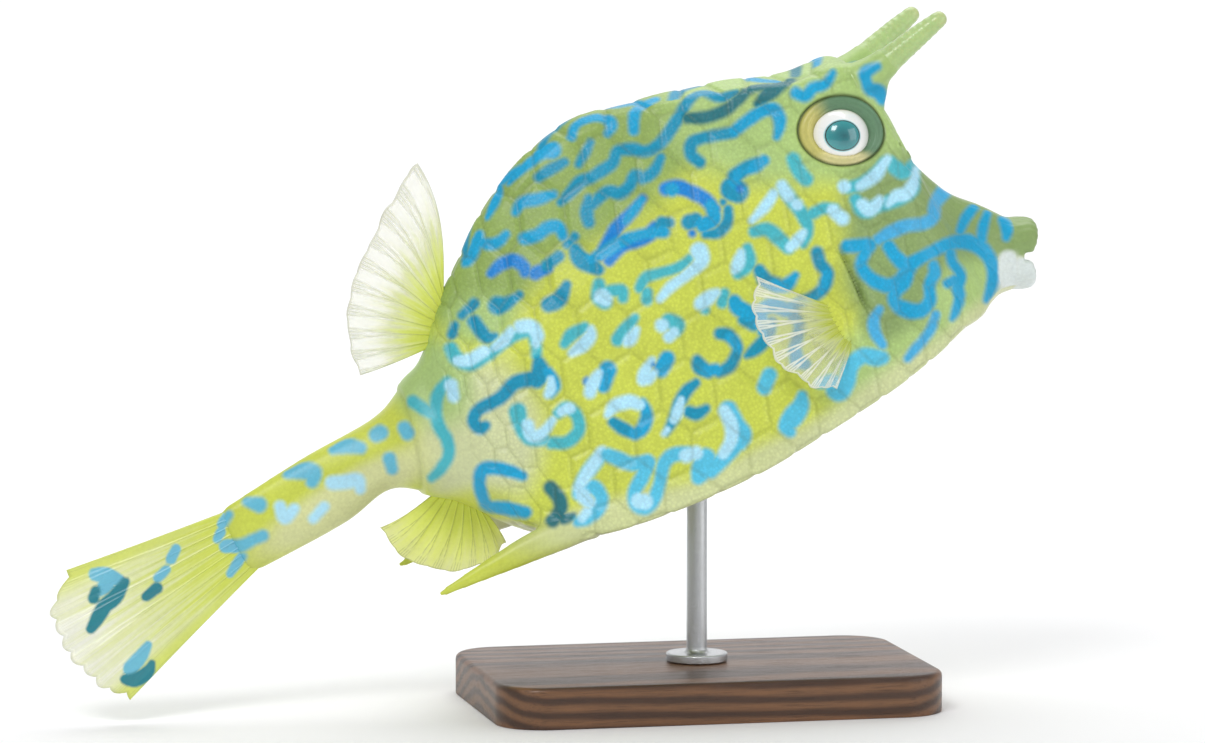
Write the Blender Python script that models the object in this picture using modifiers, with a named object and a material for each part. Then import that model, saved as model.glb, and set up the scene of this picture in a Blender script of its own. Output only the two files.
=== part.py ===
"""A scrawled cowfish, life size, as a still model on a plain display stand.

The fish is drawn in its own frame in design millimetres: "along" runs from the tail to the mouth,
"side" to the fish's left and "up" from the level of the mouth. An empty carries that frame, pitched
nose up, above the middle of the stand's underside, which is the origin.

The body is a loft. Each station gives one cross-section, which lies in the plane through a point of
the back line, a point of the belly line and the side direction. Every fin, horn, spine and eye is
placed from those stations, and sits in a pocket that is cut one gap wider than itself.
"""

import math
from typing import NamedTuple

import bmesh
import bpy
import numpy as np
from mathutils import Matrix, Vector

# Driving sizes
TOTAL_LENGTH = 0.300
DESIGN_LENGTH = 300.0
UNIT = TOTAL_LENGTH / DESIGN_LENGTH
PITCH = math.radians(26.5)
GAP = 0.3

# Stand, in design millimetres
BASE_LENGTH = 132.0
BASE_WIDTH = 84.0
BASE_THICKNESS = 12.0
BASE_CORNER = 14.0
BASE_EDGE = 1.6
ROD_RADIUS = 3.0
ROD_FLANGE_RADIUS = 9.0
ROD_FLANGE_THICKNESS = 2.4
ROD_IN_BELLY = 7.0
ROD_ALONG = 182.0
BELLY_CLEARANCE = 62.0

# Cross-sections
CELLS_AROUND = 18
POINTS_AROUND = 2 * CELLS_AROUND
KEEL_POINT = 12
KEEL_TURN = KEEL_POINT / CELLS_AROUND
OUTLINE_SAMPLES = 512


class Station(NamedTuple):
    """One cross-section of the body. Lengths are in design millimetres.

    top and low are (along, up) on the back and on the belly. crown, upper, lower and keel are half
    widths at rising shares of the height, keel_at is the keel's share, and soft rounds the corners.
    """

    top: tuple
    low: tuple
    crown: float
    upper: float
    lower: float
    keel: float
    keel_at: float
    soft: float


STATIONS = {
    "tail_base": Station((60, 43), (60, 23), 1.8, 3.6, 3.6, 1.8, 0.97, 0.07),
    "stalk": Station((84, 44.5), (86, 22.5), 3.0, 6.2, 6.0, 2.8, 0.97, 0.07),
    "stalk_root": Station((107, 46), (101, 24.5), 4.4, 9.0, 9.0, 5.0, 0.97, 0.06),
    "rim": Station((118, 50.5), (110, 21), 5.0, 12.5, 13.5, 8.0, 0.96, 0.05),
    "vent": Station((128, 56), (119.5, 11.5), 5.0, 16.0, 20.0, 15.0, 0.95, 0.035),
    "haunch": Station((137, 65), (130, -1), 5.0, 18.5, 26.0, 27.0, 0.945, 0.016),
    "rump": Station((149, 75.5), (143, -11), 5.0, 19.5, 28.5, 33.5, 0.955, 0.009),
    "loin": Station((167, 89), (165, -16), 5.0, 20.0, 29.5, 36.5, 0.962, 0.008),
    "crest": Station((193, 97), (194, -18), 5.0, 20.0, 30.0, 37.5, 0.965, 0.008),
    "shoulder": Station((219, 91), (219, -17.5), 6.0, 20.0, 29.5, 36.5, 0.965, 0.008),
    "gill": Station((241, 85.5), (241, -15.5), 8.0, 19.5, 28.5, 34.5, 0.965, 0.009),
    "nape": Station((259, 81), (258, -13.5), 11.0, 19.0, 26.0, 31.0, 0.962, 0.011),
    "brow": Station((274, 77.5), (269, -11.5), 12.5, 17.5, 24.0, 27.0, 0.96, 0.015),
    "forehead": Station((281, 60), (277, -10.5), 11.0, 15.0, 20.0, 22.5, 0.955, 0.020),
    "face": Station((282, 43.5), (283, -9.5), 8.5, 12.0, 15.5, 16.5, 0.945, 0.03),
    "bridge": Station((288, 27.5), (288, -9), 6.5, 9.6, 12.0, 11.0, 0.93, 0.045),
    "snout": Station((295, 18.5), (291.5, -9.2), 5.4, 9.2, 9.8, 7.6, 0.93, 0.06),
    "mouth": Station((300, 11), (295, -9), 5.0, 9.2, 9.0, 6.0, 0.93, 0.065),
}
STATION_NAMES = list(STATIONS)
STATION_ROWS = np.array([[*s.top, *s.low, *s[2:]] for s in STATIONS.values()], float)

# Shares of the height at which a station gives its half widths, and how far the belly bulges
CROWN_AT, UPPER_AT, LOWER_AT = 0.03, 0.35, 0.72
BELLY_MID_WIDTH, BELLY_MID_DROP = 0.55, 0.72

# Bony plates of the carapace
PLATE_ROWS = 9
PLATE_MARGIN = 0.35
PLATE_RAISE = 0.45
PLATE_DOME = 0.25
GROOVE_SHARE = 0.13


class Fan(NamedTuple):
    """A fin in the middle plane: two root points, two ray angles, ray lengths and how it is built."""

    front: tuple
    rear: tuple
    front_angle: float
    rear_angle: float
    lengths: tuple
    sunk: float
    root_half: float
    curl: float
    sway: float
    rays: int


DORSAL = Fan((144.5, 70.5), (130.5, 57.5), 68, 161, (34, 29.5, 28, 25, 21.5), 4.5, 1.0, 12, 2.5, 10)
ANAL = Fan((124, 6), (112.5, 18.5), -78, -169, (9.5, 15.5, 19, 20, 17), 4.0, 0.9, -6, -1.5, 10)
TAIL = Fan((61, 42), (61, 24.5), 174.5, 197.5, (51, 61.5, 65, 62, 54.5), 5.0, 1.5, 0, 4.0, 10)

FIN_EDGE_HALF = 0.3
RAY_HALF = 0.4
RAY_SHARE = 0.24
MEMBRANE_NOTCH = 0.025
FIN_ROWS = 5
SLOT_REACH = 2.0

# Pectoral fin, on the flank behind the gill opening
PECTORAL_ALONG = 236.0
PECTORAL_UP = 12.0
PECTORAL_ROOT_HEIGHT = 13.0
PECTORAL_FLARE = math.radians(30)
PECTORAL_ANGLES = (38, -38)
PECTORAL_LENGTHS = (27, 31, 29, 23, 15)
PECTORAL_SUNK = 3.5
PECTORAL_RAYS = 11
PECTORAL_CUP = 3.0

# Head details
EYE_ALONG, EYE_UP = 265.0, 60.0
EYE_RADIUS = 9.6
EYE_BULGE = 3.9
EYE_TILT = math.radians(14)
ORBIT_RADIUS = 9.7
ORBIT_RIM = 1.9
HORN_PATH = ((275, 9.8, 70), (282, 11.4, 70.2), (290, 13.0, 71.6), (298, 14.2, 73.2), (304.6, 15.0, 74.6))
HORN_RADII = (5.2, 4.7, 3.6, 3.0, 1.9)
SPINE_PATH = ((150, 29.0, -4.5), (138, 30.4, -3.6), (126, 31.2, -2.8), (112, 31.6, -2.2), (98, 31.4, -1.8))
SPINE_RADII = ((4.4, 4.8), (3.9, 4.2), (3.0, 3.3), (1.8, 2.1), (0.6, 0.8))
LIP_CENTRE = (298.4, -0.3)
LIP_LEAN = math.radians(27)
LIP_SIDE, LIP_HEIGHT, LIP_THICKNESS = 6.6, 5.8, 3.7
LIP_PARTING = 0.6
NOSTRILS = ((277.8, 47.5), (279.3, 43.5))
NOSTRIL_RADIUS, NOSTRIL_RAISE, NOSTRIL_HOLE = 1.2, 0.7, 0.55
GILL_RADIUS = 1.0

SKIN = (0.62, 0.68, 0.16)
HORN_COLOUR = (0.45, 0.59, 0.25)
FIN_COLOUR = (0.80, 0.83, 0.52)
LIP_COLOUR = (0.72, 0.76, 0.68)
EYE_COLOUR = (0.75, 0.80, 0.74)
WOOD = (0.19, 0.11, 0.06)
STEEL = (0.62, 0.63, 0.65)


def clear_scene():
    """Removes every object that the file opened with."""
    for obj in list(bpy.data.objects):
        bpy.data.objects.remove(obj)


def metres(along, side, up):
    """A point of the fish's frame as a vector in metres."""
    return Vector((along, side, up)) * UNIT


def finish(name, colour, roughness, metallic=0.0):
    """A Principled material."""
    material = bpy.data.materials.new(name)
    material.use_nodes = True
    shader = material.node_tree.nodes["Principled BSDF"]
    shader.inputs["Base Color"].default_value = (*colour, 1.0)
    shader.inputs["Roughness"].default_value = roughness
    shader.inputs["Metallic"].default_value = metallic
    return material


def link(name, mesh, material, parent=None, smooth_angle=40):
    """A named object in the fish's collection."""
    obj = bpy.data.objects.new(name, mesh)
    bpy.data.collections["scrawled_cowfish"].objects.link(obj)
    obj.parent = parent
    mesh.materials.clear()
    mesh.materials.append(material)
    mesh.shade_smooth()
    mesh.set_sharp_from_angle(angle=math.radians(smooth_angle))
    return obj


def mesh_of(name, points, faces):
    """A mesh from points in metres, with its faces turned outwards."""
    mesh = bpy.data.meshes.new(name)
    mesh.from_pydata([tuple(p) for p in points], [], faces)
    shape = bmesh.new()
    shape.from_mesh(mesh)
    bmesh.ops.recalc_face_normals(shape, faces=shape.faces)
    shape.to_mesh(mesh)
    shape.free()
    return mesh


def boolean(body, others, operation):
    """Joins or cuts an object with closed mesh objects, applies that and removes them."""
    tools = bpy.data.collections.new("tools")
    bpy.context.scene.collection.children.link(tools)
    for other in others:
        for home in list(other.users_collection):
            home.objects.unlink(other)
        tools.objects.link(other)
    modifier = body.modifiers.new(operation, "BOOLEAN")
    modifier.operation = operation
    modifier.operand_type = "COLLECTION"
    modifier.collection = tools
    bpy.context.view_layer.update()
    result = bpy.data.meshes.new_from_object(body.evaluated_get(bpy.context.evaluated_depsgraph_get()))
    body.modifiers.clear()
    body.data = result
    for other in others:
        bpy.data.objects.remove(other)
    bpy.data.collections.remove(tools)
    keep_largest(body.data)


def keep_largest(mesh):
    """Leaves a mesh only its largest closed surface."""
    shape = bmesh.new()
    shape.from_mesh(mesh)
    waiting = set(shape.faces)
    islands = []
    while waiting:
        island, edge = set(), [waiting.pop()]
        while edge:
            face = edge.pop()
            island.add(face)
            for side in face.edges:
                for neighbour in side.link_faces:
                    if neighbour in waiting:
                        waiting.remove(neighbour)
                        edge.append(neighbour)
        islands.append(island)
    islands.sort(key=lambda found: sum(face.calc_area() for face in found))
    spare = [face for island in islands[:-1] for face in island]
    bmesh.ops.delete(shape, geom=spare, context="FACES")
    shape.to_mesh(mesh)
    shape.free()


def station_at(place):
    """A station between the named ones, by its place in their order, as a row of sizes."""
    last = len(STATION_ROWS) - 1
    start = min(int(max(place, 0)), last - 1)
    t = place - start
    before, a, b, after = (STATION_ROWS[min(max(start + i, 0), last)] for i in (-1, 0, 1, 2))
    leave, arrive = (b - before) / 2, (after - a) / 2
    return (
        a * (2 * t**3 - 3 * t**2 + 1) + leave * (t**3 - 2 * t**2 + t)
        + b * (3 * t**2 - 2 * t**3) + arrive * (t**3 - t**2)
    )


class Section:
    """The body's cross-section at one place, as a rounded closed outline."""

    def __init__(self, place):
        row = station_at(place)
        self.top, self.low = row[0:2], row[2:4]
        crown, upper, lower, keel, keel_at, soft = row[4:]
        height = np.linalg.norm(self.low - self.top)
        belly_mid = keel_at + (1 - keel_at) * BELLY_MID_DROP
        shares = [0, CROWN_AT, UPPER_AT, LOWER_AT, keel_at, belly_mid, 1]
        widths = [0, crown, upper, lower, keel, keel * BELLY_MID_WIDTH, 0]
        half = np.array(widths) + 1j * np.array(shares) * height
        ring = np.concatenate([half, -np.conj(half[-2:0:-1]), half[:1]])
        run = np.concatenate([[0], np.cumsum(np.abs(np.diff(ring)))])
        even = np.linspace(0, run[-1], OUTLINE_SAMPLES, endpoint=False)
        dense = np.interp(even, run, ring.real) + 1j * np.interp(even, run, ring.imag)
        wave = np.fft.fftfreq(OUTLINE_SAMPLES) * OUTLINE_SAMPLES
        smooth = np.fft.ifft(np.fft.fft(dense) * np.exp(-0.5 * (math.pi * wave * soft) ** 2))
        side, down = smooth.real, smooth.imag
        side = side * (max(widths) / side.max())
        down = (down - down.min()) * height / np.ptp(down)
        self.outline = side + 1j * down
        self.keel_share = run[4] / run[len(half) - 1]
        self.direction = (self.low - self.top) / height

    def point(self, turn):
        """The (along, side, up) of a turn from 0 on the back by 1 on the belly to 2 on the back."""
        share = turn if turn <= 1 else 2 - turn
        if share <= KEEL_TURN:
            share = self.keel_share * share / KEEL_TURN
        else:
            share = self.keel_share + (1 - self.keel_share) * (share - KEEL_TURN) / (1 - KEEL_TURN)
        at = share * OUTLINE_SAMPLES / 2
        first = int(at)
        a, b = self.outline[first % OUTLINE_SAMPLES], self.outline[(first + 1) % OUTLINE_SAMPLES]
        found = a + (b - a) * (at - first)
        centre = self.top + self.direction * found.imag
        side = found.real if turn <= 1 else -found.real
        return Vector((centre[0], side, centre[1]))


def place_of(name):
    """The place of a named station in their order."""
    return float(STATION_NAMES.index(name))


def body_point(place, turn):
    """A point of the body's surface in the fish's frame."""
    return Section(place).point(turn % 2)


def body_normal(place, turn):
    """The outward normal of the body's surface."""
    step = 0.02
    along = body_point(place + step, turn) - body_point(place - step, turn)
    around = body_point(place, turn + step) - body_point(place, turn - step)
    return along.cross(around).normalized()


def spread_places(start, end, count, push=0.0):
    """Places from start to end whose sections are evenly far apart along the middle of the flank.

    push moves the first and last ones inwards, in design millimetres, to leave a gap.
    """
    fine = np.linspace(start, end, 200)
    middles = np.array([(station_at(p)[0:2] + station_at(p)[2:4]) / 2 for p in fine])
    run = np.concatenate([[0], np.cumsum(np.linalg.norm(np.diff(middles, axis=0), axis=1))])
    return np.interp(np.linspace(push, run[-1] - push, count), run, fine)


def ring_at(place):
    """The points of one plain ring of the body."""
    section = Section(place)
    return [section.point(2 * m / POINTS_AROUND) for m in range(POINTS_AROUND)]


def lofted(name, rings):
    """A closed mesh through rings of equal counts, in the fish's frame, with flat ends."""
    count = len(rings[0])
    points = [p * UNIT for ring in rings for p in ring]
    faces = [
        (r * count + m, r * count + (m + 1) % count, (r + 1) * count + (m + 1) % count, (r + 1) * count + m)
        for r in range(len(rings) - 1)
        for m in range(count)
    ]
    last = (len(rings) - 1) * count
    faces += [tuple(range(count))[::-1], tuple(range(last, last + count))]
    return mesh_of(name, points, faces)


def plated_stretch(start, end):
    """Points and faces of a stretch of the body whose surface is raised hexagonal plates.

    Its edges are the plain rings at start and end. The plates' corners lie on zigzag rings, and a
    plate's middle is raised in a low dome.
    """
    columns = PLATE_ROWS
    step = (end - start) / (columns + 2 * PLATE_MARGIN)
    zigzag = step / 6
    points, faces = [], []

    def add(place, turn, lift=0.0):
        points.append(body_point(place, turn) + body_normal(place, turn) * lift)
        return len(points) - 1

    def turn_of(m):
        return 2 * (m % POINTS_AROUND) / POINTS_AROUND

    around = range(POINTS_AROUND)
    first = [add(start, turn_of(m)) for m in around]
    rings = []
    for k in range(columns + 1):
        middle = start + step * (PLATE_MARGIN + k)
        rings.append([add(middle + (zigzag if (m + k) % 2 == 0 else -zigzag), turn_of(m)) for m in around])
    final = [add(end, turn_of(m)) for m in around]
    for k in range(columns):
        for m in (m for m in around if (m + k) % 2 == 1):
            left, right = (m - 1) % POINTS_AROUND, (m + 1) % POINTS_AROUND
            low, high = rings[k], rings[k + 1]
            corners = [low[left], low[m], low[right], high[right], high[m], high[left]]
            middle_place = start + step * (PLATE_MARGIN + k + 0.5)
            centre = body_point(middle_place, turn_of(m))
            normal = body_normal(middle_place, turn_of(m))
            inner = []
            for corner in corners:
                points.append(points[corner].lerp(centre, GROOVE_SHARE) + normal * PLATE_RAISE)
                inner.append(len(points) - 1)
            points.append(centre + normal * (PLATE_RAISE + PLATE_DOME))
            top = len(points) - 1
            for i in range(6):
                j = (i + 1) % 6
                faces.append((corners[i], corners[j], inner[j], inner[i]))
                faces.append((inner[i], inner[j], top))
    for edge, zig in ((first, rings[0]), (final, rings[-1])):
        for m in around:
            n = (m + 1) % POINTS_AROUND
            faces.append((edge[m], edge[n], zig[n], zig[m]))
    return points, faces, first, final


def carapace_mesh():
    """The boxy shell from the rim round the tail stalk to the gill, plated from the rump forwards."""
    plain = [ring_at(p) for p in spread_places(place_of("rim"), place_of("rump") - 0.45, 7)]
    end = place_of("gill")
    gill_run = spread_places(place_of("rump"), end, 3, GAP / 2)[-1]
    points, faces, first, final = plated_stretch(place_of("rump") - 0.45, gill_run)
    rows = [first]
    for ring in reversed(plain[:-1]):
        rows.append(list(range(len(points), len(points) + POINTS_AROUND)))
        points += ring
    for near, far in zip(rows, rows[1:]):
        for m in range(POINTS_AROUND):
            n = (m + 1) % POINTS_AROUND
            faces.append((near[m], near[n], far[n], far[m]))
    faces += [tuple(rows[-1]), tuple(final)]
    return mesh_of("carapace", [p * UNIT for p in points], faces)


def head_mesh():
    """The head from the gill to the mouth, before the eyes, horns and lips are let in."""
    places = spread_places(place_of("gill"), place_of("mouth"), 17)
    places[0] = spread_places(place_of("gill"), place_of("mouth"), 3, GAP / 2)[0]
    return lofted("head", [ring_at(p) for p in places])


def stalk_mesh():
    """The tail stalk, a little smaller than the rim that it comes out of."""
    places = spread_places(place_of("tail_base"), place_of("rim"), 9, 0.0)
    places[-1] = spread_places(place_of("tail_base"), place_of("rim"), 3, GAP)[-1]
    rings = [ring_at(p) for p in places]
    middle = sum(rings[-1], Vector()) / POINTS_AROUND
    rings[-1] = [p.lerp(middle, 0.1) for p in rings[-1]]
    return lofted("tail_stalk", rings)


def taper(name, path, radii, grow=0.0, sides=12):
    """A closed tapering rod along a path, with round or oval rings. grow widens it, for a pocket."""
    path = [Vector(p) for p in path]
    rings = []
    for i, centre in enumerate(path):
        tangent = (path[min(i + 1, len(path) - 1)] - path[max(i - 1, 0)]).normalized()
        across = tangent.cross(Vector((0, 0, 1))).normalized()
        over = across.cross(tangent)
        wide, tall = radii[i] if isinstance(radii[i], tuple) else (radii[i], radii[i])
        if i == 0:
            centre = centre - tangent * grow
        rings.append([
            centre + across * (wide + grow) * math.cos(a) + over * (tall + grow) * math.sin(a)
            for a in (math.tau * s / sides for s in range(sides))
        ])
    tip = path[-1] + (path[-1] - path[-2]).normalized() * (min(wide, tall) * 0.6)
    rings.append([tip.lerp(p, 0.45) for p in rings[-1]])
    return lofted(name, rings)


def mirrored(path, side):
    """A path on the fish's left, or with side -1 on its right."""
    return [(along, out * side, up) for along, out, up in path]


def smooth_through(path, radii, count):
    """More points along a path, and their radii, on a smooth curve through the given ones."""
    rows = np.array([[*p, *np.atleast_1d(r)] for p, r in zip(path, radii)], float)
    places = np.linspace(0, len(rows) - 1, count)
    found = []
    for place in places:
        start = min(int(place), len(rows) - 2)
        t = place - start
        before, a, b, after = (rows[min(max(start + i, 0), len(rows) - 1)] for i in (-1, 0, 1, 2))
        leave, arrive = (b - before) / 2, (after - a) / 2
        found.append(
            a * (2 * t**3 - 3 * t**2 + 1) + leave * (t**3 - 2 * t**2 + t)
            + b * (3 * t**2 - 2 * t**3) + arrive * (t**3 - t**2)
        )
    return [tuple(row[:3]) for row in found], [tuple(row[3:]) if len(row) > 4 else row[3] for row in found]


def ray_columns(rays):
    """(share across the fin, how much of a ray stands there) for each line of points of a fin."""
    columns = []
    for ray in range(rays):
        middle = ray / (rays - 1)
        reach = RAY_SHARE / (rays - 1)
        for share, ridge in ((middle - reach, 0.0), (middle, 1.0), (middle + reach, 0.0)):
            if 0 <= share <= 1:
                columns.append((share, ridge))
    return columns


def vane(name, spine, root_half, rays, sunk_share, slot=False):
    """A thin fin with its rays raised on both faces, split into triangles alike on both.

    spine(across, out) is a point of its middle surface, and a vector across its thickness. A slot
    is the plain root of the same fin, one gap larger all round, to cut its pocket with.
    """
    if slot:
        margin = 0.35 / (rays - 1)
        columns = [(-margin, 1.0)] + [(i / 8, 1.0) for i in range(9)] + [(1 + margin, 1.0)]
        rows = [-sunk_share - 0.03, sunk_share * SLOT_REACH]
        grow = GAP
    else:
        columns = ray_columns(rays)
        rows = [-sunk_share] + [i / FIN_ROWS for i in range(FIN_ROWS + 1)]
        grow = 0.0
    faces_of = {1: [], -1: []}
    for face in faces_of:
        for across, ridge in columns:
            for out in rows:
                reach = out if out < 1 or ridge else 1 - MEMBRANE_NOTCH
                centre, thick = spine(across, reach)
                lasting = max(out, 0.0)
                half = root_half + (FIN_EDGE_HALF - root_half) * min(lasting * 1.35, 1.0)
                half += ridge * RAY_HALF * (1 - 0.75 * lasting) + grow
                faces_of[face].append(centre + thick * (face * half))
    width = len(rows)
    points = [p * UNIT for p in faces_of[1] + faces_of[-1]]
    other = len(faces_of[1])
    faces = []
    for c in range(len(columns) - 1):
        for r in range(width - 1):
            a, b = c * width + r, (c + 1) * width + r
            for shift in (0, other):
                faces += [(a + shift, b + shift, b + 1 + shift), (a + shift, b + 1 + shift, a + 1 + shift)]
    rim = [c * width for c in range(len(columns))]
    rim += [(len(columns) - 1) * width + r for r in range(1, width)]
    rim += [c * width + width - 1 for c in range(len(columns) - 2, -1, -1)]
    rim += [r for r in range(width - 2, 0, -1)]
    for a, b in zip(rim, rim[1:] + rim[:1]):
        faces += [(a, b, b + other), (a, b + other, a + other)]
    return mesh_of(name, points, faces)


def length_across(lengths, across):
    """The length of the ray at a share across the fin, on a smooth curve through the given ones."""
    share = min(max(across, 0.0), 1.0) * (len(lengths) - 1)
    start = min(int(share), len(lengths) - 2)
    ease = share - start
    return lengths[start] + (lengths[start + 1] - lengths[start]) * ease * ease * (3 - 2 * ease)


def fan_spine(fan):
    """The middle surface of a fin that stands in the middle plane, as vane asks for it."""

    def spine(across, out):
        root = Vector(fan.front).lerp(Vector(fan.rear), across)
        turned = min(max(across, 0.0), 1.0)
        angle = math.radians(fan.front_angle + (fan.rear_angle - fan.front_angle) * turned)
        length = length_across(fan.lengths, across)
        bend = math.radians(fan.curl) * max(out, 0.0)
        reach = length * out
        along = root.x + reach * math.cos(angle + bend)
        up = root.y + reach * math.sin(angle + bend)
        side = fan.sway * max(out, 0.0) ** 2 * math.cos(math.pi * across * 1.2)
        return Vector((along, side, up)), Vector((0, 1, 0))

    return spine


def fan_meshes(name, fan):
    """A median fin, and the slot for its root."""
    sunk = fan.sunk / max(fan.lengths)
    made = vane(name, fan_spine(fan), fan.root_half, fan.rays, sunk)
    slot = vane(name + "_slot", fan_spine(fan), fan.root_half, fan.rays, sunk, slot=True)
    return made, slot


def turn_at(place, up, low=0.0, high=KEEL_TURN):
    """The turn at which the flank has a given height, found by halving."""
    section = Section(place)
    for _ in range(40):
        middle = (low + high) / 2
        if section.point(middle).z > up:
            low = middle
        else:
            high = middle
    return low


def place_at(along, up):
    """The place whose section passes a point (along, up) of the side view, found by halving."""
    low, high = place_of("tail_base"), place_of("mouth")
    for _ in range(40):
        middle = (low + high) / 2
        row = station_at(middle)
        top, line = Vector(row[0:2]), Vector(row[2:4]) - Vector(row[0:2])
        ahead = line.x * (up - top.y) - line.y * (along - top.x)
        if ahead > 0:
            low = middle
        else:
            high = middle
    return low


def flank(along, up, side):
    """A point of the flank and its outward normal, from its place in the side view."""
    place = place_at(along, up)
    turn = turn_at(place, up)
    point, normal = body_point(place, turn), body_normal(place, turn)
    return Vector((point.x, point.y * side, point.z)), Vector((normal.x, normal.y * side, normal.z))


def pectoral_spine(side):
    """The middle surface of a pectoral fin, swept back and standing out from the flank."""
    root, normal = flank(PECTORAL_ALONG, PECTORAL_UP, side)
    ahead = (Vector((1, 0, 0)) - normal * normal.x).normalized()
    rise = ahead.cross(normal) * -side
    rise = rise if rise.z > 0 else -rise
    back = normal * math.sin(PECTORAL_FLARE) - ahead * math.cos(PECTORAL_FLARE)
    thick = rise.cross(back).normalized()

    def spine(across, out):
        turned = min(max(across, 0.0), 1.0)
        angle = math.radians(PECTORAL_ANGLES[0] + (PECTORAL_ANGLES[1] - PECTORAL_ANGLES[0]) * turned)
        length = length_across(PECTORAL_LENGTHS, across)
        base = root + rise * PECTORAL_ROOT_HEIGHT * (0.5 - across)
        cup = thick * PECTORAL_CUP * side * max(out, 0.0) ** 2 * (across - 0.5)
        return base + (back * math.cos(angle) + rise * math.sin(angle)) * length * out + cup, thick

    return spine


def eye_frame(side):
    """The eye's centre and the way it looks, in the fish's frame."""
    surface, _ = flank(EYE_ALONG, EYE_UP, side)
    look = Vector((0.12, side * math.cos(EYE_TILT), math.sin(EYE_TILT))).normalized()
    return surface + look * (EYE_BULGE - EYE_RADIUS), look


def ball(name, centre, radius, segments=20):
    """A sphere as a mesh in the fish's frame."""
    shape = bmesh.new()
    bmesh.ops.create_uvsphere(shape, u_segments=segments, v_segments=segments // 2, radius=radius * UNIT)
    bmesh.ops.translate(shape, verts=shape.verts, vec=centre * UNIT)
    mesh = bpy.data.meshes.new(name)
    shape.to_mesh(mesh)
    shape.free()
    return mesh


def torus(name, centre, facing, radii, thickness, segments=24, sides=6):
    """A ring of round section that faces one way, with its radii across and up."""
    wide, tall = radii
    bpy.ops.mesh.primitive_torus_add(
        major_segments=segments, minor_segments=sides,
        major_radius=tall * UNIT, minor_radius=thickness * UNIT,
    )
    ring = bpy.context.object
    mesh = ring.data
    bpy.data.objects.remove(ring)
    mesh.name = name
    turn = facing.to_track_quat("Z", "X").to_matrix().to_4x4()
    mesh.transform(Matrix.Translation(centre * UNIT) @ turn @ Matrix.Diagonal((1, wide / tall, 1, 1)))
    return mesh


def cylinder(name, start, end, radius, sides=10):
    """A round bar between two points of the fish's frame."""
    line = end - start
    turn = line.to_track_quat("Z", "Y").to_matrix().to_4x4()
    shape = bmesh.new()
    bmesh.ops.create_cone(
        shape, cap_ends=True, segments=sides, radius1=radius * UNIT, radius2=radius * UNIT,
        depth=line.length * UNIT, matrix=Matrix.Translation((start + end) / 2 * UNIT) @ turn,
    )
    mesh = bpy.data.meshes.new(name)
    shape.to_mesh(mesh)
    shape.free()
    return mesh


def lip_frame():
    """The middle of the mouth, and the way it faces."""
    centre = Vector((LIP_CENTRE[0], 0, LIP_CENTRE[1]))
    facing = Vector((math.cos(LIP_LEAN), 0, -math.sin(LIP_LEAN)))
    return centre, facing


def lip_box(upper, grow):
    """A box that holds the upper or the lower lip, parted from the other by the mouth's line."""
    centre, facing = lip_frame()
    rise = Vector((math.sin(LIP_LEAN), 0, math.cos(LIP_LEAN)))
    reach = 2.5 * LIP_SIDE
    start = centre + rise * (LIP_PARTING / 2 - grow) * (1 if upper else -1)
    end = start + rise * reach * (1 if upper else -1)
    side = Vector((0, 1, 0))
    corners = [
        base + side * reach * y + facing * reach * x
        for base in (start, end) for y, x in ((-1, -1), (1, -1), (1, 1), (-1, 1))
    ]
    return lofted("lip_box", [corners[:4], corners[4:]])


def lip_ring(grow=0.0):
    """The whole ring of the lips."""
    centre, facing = lip_frame()
    return torus("lips", centre, facing, (LIP_SIDE, LIP_HEIGHT), LIP_THICKNESS + grow, 24, 8)


def gill_cutter(side):
    """A bent groove down the cheek, the gill opening."""
    places = np.linspace(place_of("gill") + 0.32, place_of("gill") + 0.22, 7)
    turns = np.linspace(0.39, 0.53, 7)
    path = []
    for place, turn in zip(places, turns):
        point = body_point(place, turn)
        path.append((point.x, point.y * side, point.z))
    radii = [GILL_RADIUS * math.sin(math.pi * (i + 0.6) / 7.2) + 0.15 for i in range(7)]
    return taper_bar_along("gill_cutter", path, radii)


def taper_bar_along(name, path, radii, sides=8):
    """A round bar along a bent path, in the fish's frame, with flat ends."""
    path = [Vector(p) for p in path]
    rings = []
    for i, centre in enumerate(path):
        tangent = (path[min(i + 1, len(path) - 1)] - path[max(i - 1, 0)]).normalized()
        across = tangent.cross(Vector((1, 0, 0))).normalized()
        over = across.cross(tangent)
        rings.append([
            centre + (across * math.cos(a) + over * math.sin(a)) * radii[i]
            for a in (math.tau * s / sides for s in range(sides))
        ])
    return lofted(name, rings)


def stand_origin():
    """Where the stand's underside has its middle, in the fish's frame turned level."""
    place = place_at(ROD_ALONG, -10.0)
    point = body_point(place, 1.0)
    return Matrix.Rotation(-PITCH, 3, "Y") @ point


def stand_base_mesh():
    """The flat base, with round corners and a small bevel round its top."""
    shape = bmesh.new()
    bmesh.ops.create_cube(shape, size=1.0)
    bmesh.ops.scale(shape, verts=shape.verts, vec=Vector((BASE_LENGTH, BASE_WIDTH, BASE_THICKNESS)) * UNIT)
    bmesh.ops.translate(shape, verts=shape.verts, vec=(0, 0, BASE_THICKNESS * UNIT / 2))
    upright = [e for e in shape.edges if abs(e.verts[0].co.z - e.verts[1].co.z) > 0.5 * BASE_THICKNESS * UNIT]
    bmesh.ops.bevel(shape, geom=upright, offset=BASE_CORNER * UNIT, segments=6, profile=0.5, affect="EDGES")
    rim = [e for e in shape.edges if all(v.co.z > 0.9 * BASE_THICKNESS * UNIT for v in e.verts)]
    bmesh.ops.bevel(shape, geom=rim, offset=BASE_EDGE * UNIT, segments=2, profile=0.5, affect="EDGES")
    mesh = bpy.data.meshes.new("stand_base")
    shape.to_mesh(mesh)
    shape.free()
    return mesh


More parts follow.
